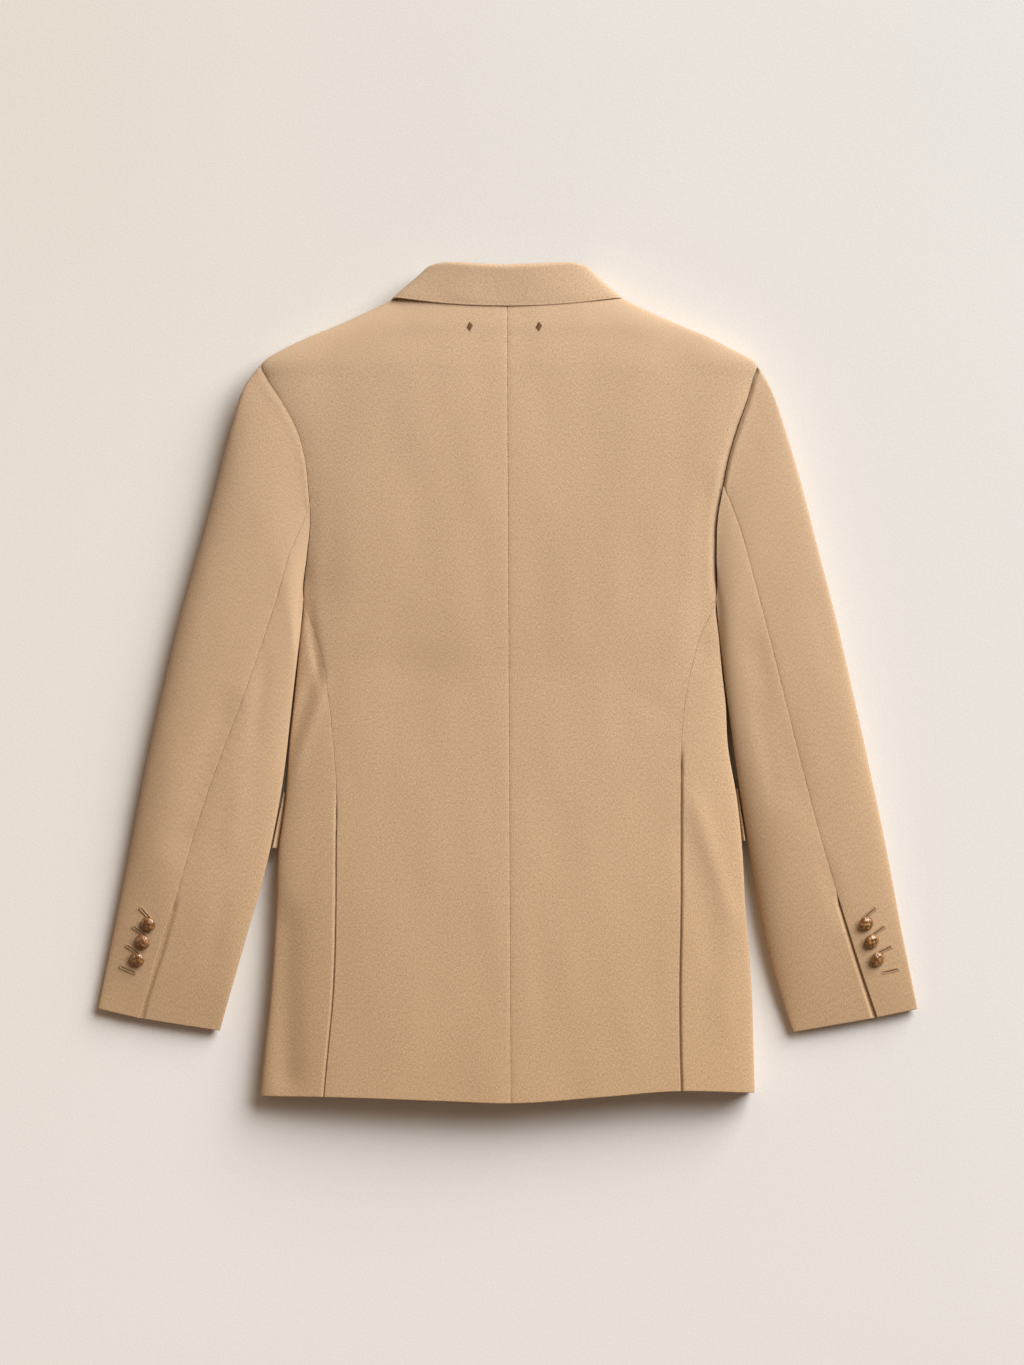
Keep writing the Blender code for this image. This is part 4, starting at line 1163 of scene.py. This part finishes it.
def cuff_holes(side):
    """The cuff's four buttonholes. The lowest has no button."""
    holes = []
    for height, (rise, back, lean) in zip(CUFF_BUTTON_HEIGHTS + CUFF_BUTTON_HEIGHTS[-1:], CUFF_HOLES[side]):
        place, normal, across, up = on_sleeve(side, height + rise, CUFF_BUTTON_SET_BACK + back)
        holes.append((place, normal, across * np.cos(np.radians(lean)) + up * np.sin(np.radians(lean))))
    names = ("cuff_buttonholes" + SIDES[side], "cuff_slits" + SIDES[side])
    work_holes(*names, holes, CUFF_HOLE_LENGTH, 100)


def front_holes():
    """The right front's three buttonholes, under the buttons that they fasten, towards its edge."""
    out = np.array([-1.0, 0.0, 0.0])
    places = [np.array([-FRONT_BUTTON_X - FRONT_HOLE_SHIFT, y, BUTTON_LIFT]) for y in FRONT_BUTTON_YS]
    holes = [(place, DOWN, out) for place in places]
    work_holes("front_buttonholes", "front_slits", holes, FRONT_HOLE_LENGTH, 200)


def back_mark(number, x, y):
    """A small plain lozenge of satin stitches, worked across."""
    rows = np.arange(-4.2, 4.21, 0.56)
    side = 1 if x > centre(y) else -1
    row = np.array([[y]])
    turn = top_turn(side, row, np.abs(x - centre(row)))
    z = float(body_ring(side, row, turn, no_lift)[1][0, 0] - lie(np.array([x, y]), BACK_LIE)) + 0.3
    sizes = as_grid(3.4 * (1 - np.abs(rows) / 4.6), 0.34, 0.3)
    places = as_grid(x, y + rows, z)
    beads(f"back_mark_{number}", "button", MARK_THREAD, places, (1, 0.28, 0), (0, 0, 1), sizes)


# ---- buttons


def spun(points, turn):
    """Points turned about z."""
    x, y, z = points[..., 0], points[..., 1], points[..., 2]
    return as_grid(x * np.cos(turn) - y * np.sin(turn), x * np.sin(turn) + y * np.cos(turn), z)


def dome_height(r):
    """The button's dome over its radius, both as shares: a flattened half-round."""
    return (1 - np.clip(r, 0, 1) ** 2.6) ** 0.62


def strap(radius, height, offset, phase):
    """A leather strap over the dome: a flat round-edged section carried along a chord, which rises and
    dips in turn where it passes over and under the straps that cross it."""
    reach = np.sqrt(1 - (offset / 1.02) ** 2) * 0.985
    t = np.linspace(-1, 1, 31)[:, None]
    section = np.linspace(0, 2 * np.pi, 12, endpoint=False)[None, :]
    sideways = STRAP_WIDTH / 2 * radius * signed_power(np.cos(section), 0.7)
    along = t * reach * radius
    across = (offset * radius + sideways) * (1 - 0.25 * np.abs(t) ** 3)
    r = np.hypot(along, across) / radius
    weave = WEAVE_RISE * np.cos(np.pi * t * reach / STRAPS_APART + phase)
    lift = STRAP_HALF_DEPTH * np.sin(section) + 0.2
    z = height * dome_height(r) * DOME_SHARE + weave * bell(r / 0.8) + lift
    return as_grid(along, across, np.maximum(z, 0.25 + 0.1 * np.sin(section)))


def ring_faces(rows, columns, start=0):
    """Points numbered ring by ring, with quads between the rings."""
    index = start + np.arange(rows * columns).reshape(rows, columns)
    ahead = np.roll(index, -1, axis=1)
    return index, np.stack([index[:-1], ahead[:-1], ahead[1:], index[1:]], axis=-1).reshape(-1, 4)


def button(node, radius, height, place, normal, across, turn):
    """A woven leather button: a smooth dome under two layers of three straps that cross square."""
    rings = np.concatenate([np.linspace(0, 0.9, 12), [0.95, 0.985, 1.0]])[1:]
    around = np.linspace(0, 2 * np.pi, 40, endpoint=False)
    crown = height * DOME_SHARE - 0.15
    outline = np.concatenate([rings, [1.0, 0.93, 0.7, 0.35]])[:, None] * radius
    level = np.concatenate([height * DOME_SHARE * dome_height(rings) - 0.15, [0.35, 0.02, 0.0, 0.0]])[:, None]
    dome = as_grid(outline * np.cos(around), outline * np.sin(around), level)
    index, quads = ring_faces(*dome.shape[:2])
    start = index.size + 2
    points = [dome.reshape(-1, 3), np.array([[0, 0, crown], [0, 0, 0.0]])]
    faces = quads[:, [0, 3, 2, 1]].tolist()
    faces += [(index.size, int(a), int(b)) for a, b in zip(index[0], np.roll(index[0], -1))]
    faces += [(index.size + 1, int(b), int(a)) for a, b in zip(index[-1], np.roll(index[-1], -1))]
    for layer in range(2):
        for number, offset in enumerate((-STRAPS_APART, 0.0, STRAPS_APART)):
            band = strap(radius, height, offset, np.pi * (number + layer))
            points.append(spun(band, layer * np.pi / 2).reshape(-1, 3))
            index, quads = ring_faces(*band.shape[:2], start)
            faces += quads.tolist() + [index[0, ::-1].tolist(), index[-1].tolist()]
            start += index.size
    placed = place + spun(np.concatenate(points), turn) @ np.stack([across, np.cross(normal, across), normal])
    piece = mesh_of(node + "_woven", placed, faces, LEATHER)
    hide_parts(node)


def buttons(side):
    """Three on the cuff, tilted from its cloth, and a row of three under the front, facing down."""
    for number, height in enumerate(CUFF_BUTTON_HEIGHTS, 1):
        place, normal, across, _ = on_sleeve(side, height, CUFF_BUTTON_SET_BACK)
        lean = np.array([0.7 * side, -0.7, 0.0]) * np.sin(np.radians(CUFF_BUTTON_TILT))
        normal = unit(normal + lean - (lean @ normal) * normal)
        across = unit(across - (across @ normal) * normal)
        place = place + np.array([0, 0, CUFF_BUTTON_RISE])
        turn = 0.5 + 0.4 * number * side
        node = f"cuff_button{SIDES[side]}_{number}"
        button(node, CUFF_BUTTON_RADIUS, CUFF_BUTTON_HEIGHT, place, normal, across, turn)
    for number, y in enumerate(FRONT_BUTTON_YS, 1):
        place = np.array([side * FRONT_BUTTON_X, y, BUTTON_LIFT - BUTTON_GAP])
        node = f"front_button{SIDES[side]}_{number}"
        across = np.array([1.0, 0.0, 0.0])
        button(node, FRONT_BUTTON_RADIUS, FRONT_BUTTON_HEIGHT, place, DOWN, across, 0.4 * number)


# ---- floor, light and camera


def floor():
    """A wide pale sheet under everything, with a faint tooth, a little darker away from the hem."""
    finish = Finish("pale floor", Roughness=0.9, Specular_IOR_Level=0.15)
    place = finish.place()
    soft = finish.noise(place, 2.2)
    tooth = finish.noise(place, 260.0, detail=3.0)
    grit = finish.noise(place, 620.0, detail=1.0)
    across, along = finish.parts(place)
    top = finish.mix(across * 1.2 + 0.5, (0.668, 0.650, 0.602, 1), (0.648, 0.650, 0.642, 1))
    bottom = finish.mix(across * 1.2 + 0.5, (0.780, 0.748, 0.722, 1), (0.718, 0.712, 0.700, 1))
    plain = finish.mix(along * 0.85 + 0.5, bottom, top)
    pale = (soft * 0.6 + tooth * 0.4) * 0.12 + grit * 0.2 - 0.1
    finish.feed("Base Color", finish.mix(pale, plain, (1.0, 0.99, 0.97, 1)))
    finish.bump(tooth * 0.4 + grit, 0.3, 0.0003)
    mesh = bpy.data.meshes.new("floor")
    square = ((-1, -1), (1, -1), (1, 1), (-1, 1))
    mesh.from_pydata([(FLOOR_HALF * x, FLOOR_HALF * y, FLOOR_Z) for x, y in square], [], [(0, 1, 2, 3)])
    mesh.materials.append(finish.material)
    linked("floor", mesh)


def area_light(name, place, size, power, colour):
    """A square light that faces the garment's middle."""
    data = bpy.data.lights.new(name, "AREA")
    data.size = size
    data.energy = power
    data.color = colour
    obj = linked(name, data)
    obj.location = place
    obj.rotation_euler = (-Vector(place)).to_track_quat("-Z", "Y").to_euler()


def lights():
    """A broad key high to the upper right, a weak fill from the left and a warm sky."""
    area_light("key", (6.9, 7.3, 6.6), 10.0, 2850.0, (1.0, 0.995, 0.99))
    area_light("fill", (-3.6, 0.6, 4.4), 3.0, 5.0, (1.0, 0.96, 0.90))
    world = bpy.data.worlds.new("sky")
    world.use_nodes = True
    sky = world.node_tree.nodes["Background"]
    sky.inputs["Color"].default_value = (1.0, 0.69, 0.47, 1)
    sky.inputs["Strength"].default_value = 0.22
    bpy.context.scene.world = world


def camera():
    """Straight above, with +Y up the picture."""
    data = bpy.data.cameras.new("camera")
    data.sensor_width = SENSOR
    data.lens = SENSOR * CAMERA_DISTANCE / VIEW_HEIGHT
    obj = linked("camera", data)
    obj.location = (CAMERA_X, 0, CAMERA_DISTANCE)
    bpy.context.scene.camera = obj


# ---- making it


floor()
lights()
camera()
for side in (-1, 1):
    for make in (back, side_panel, front, lapel, flap, top_sleeve, under_sleeve):
        make(side)
collar()
for side in (-1, 1):
    buttons(side)
for side in (-1, 1):
    cuff_holes(side)
front_holes()
collar_stitches()
front_stitches()
for number, x in enumerate(MARK_XS, 1):
    back_mark(number, x, MARK_Y)

bpy.context.scene.view_settings.view_transform = "Standard"
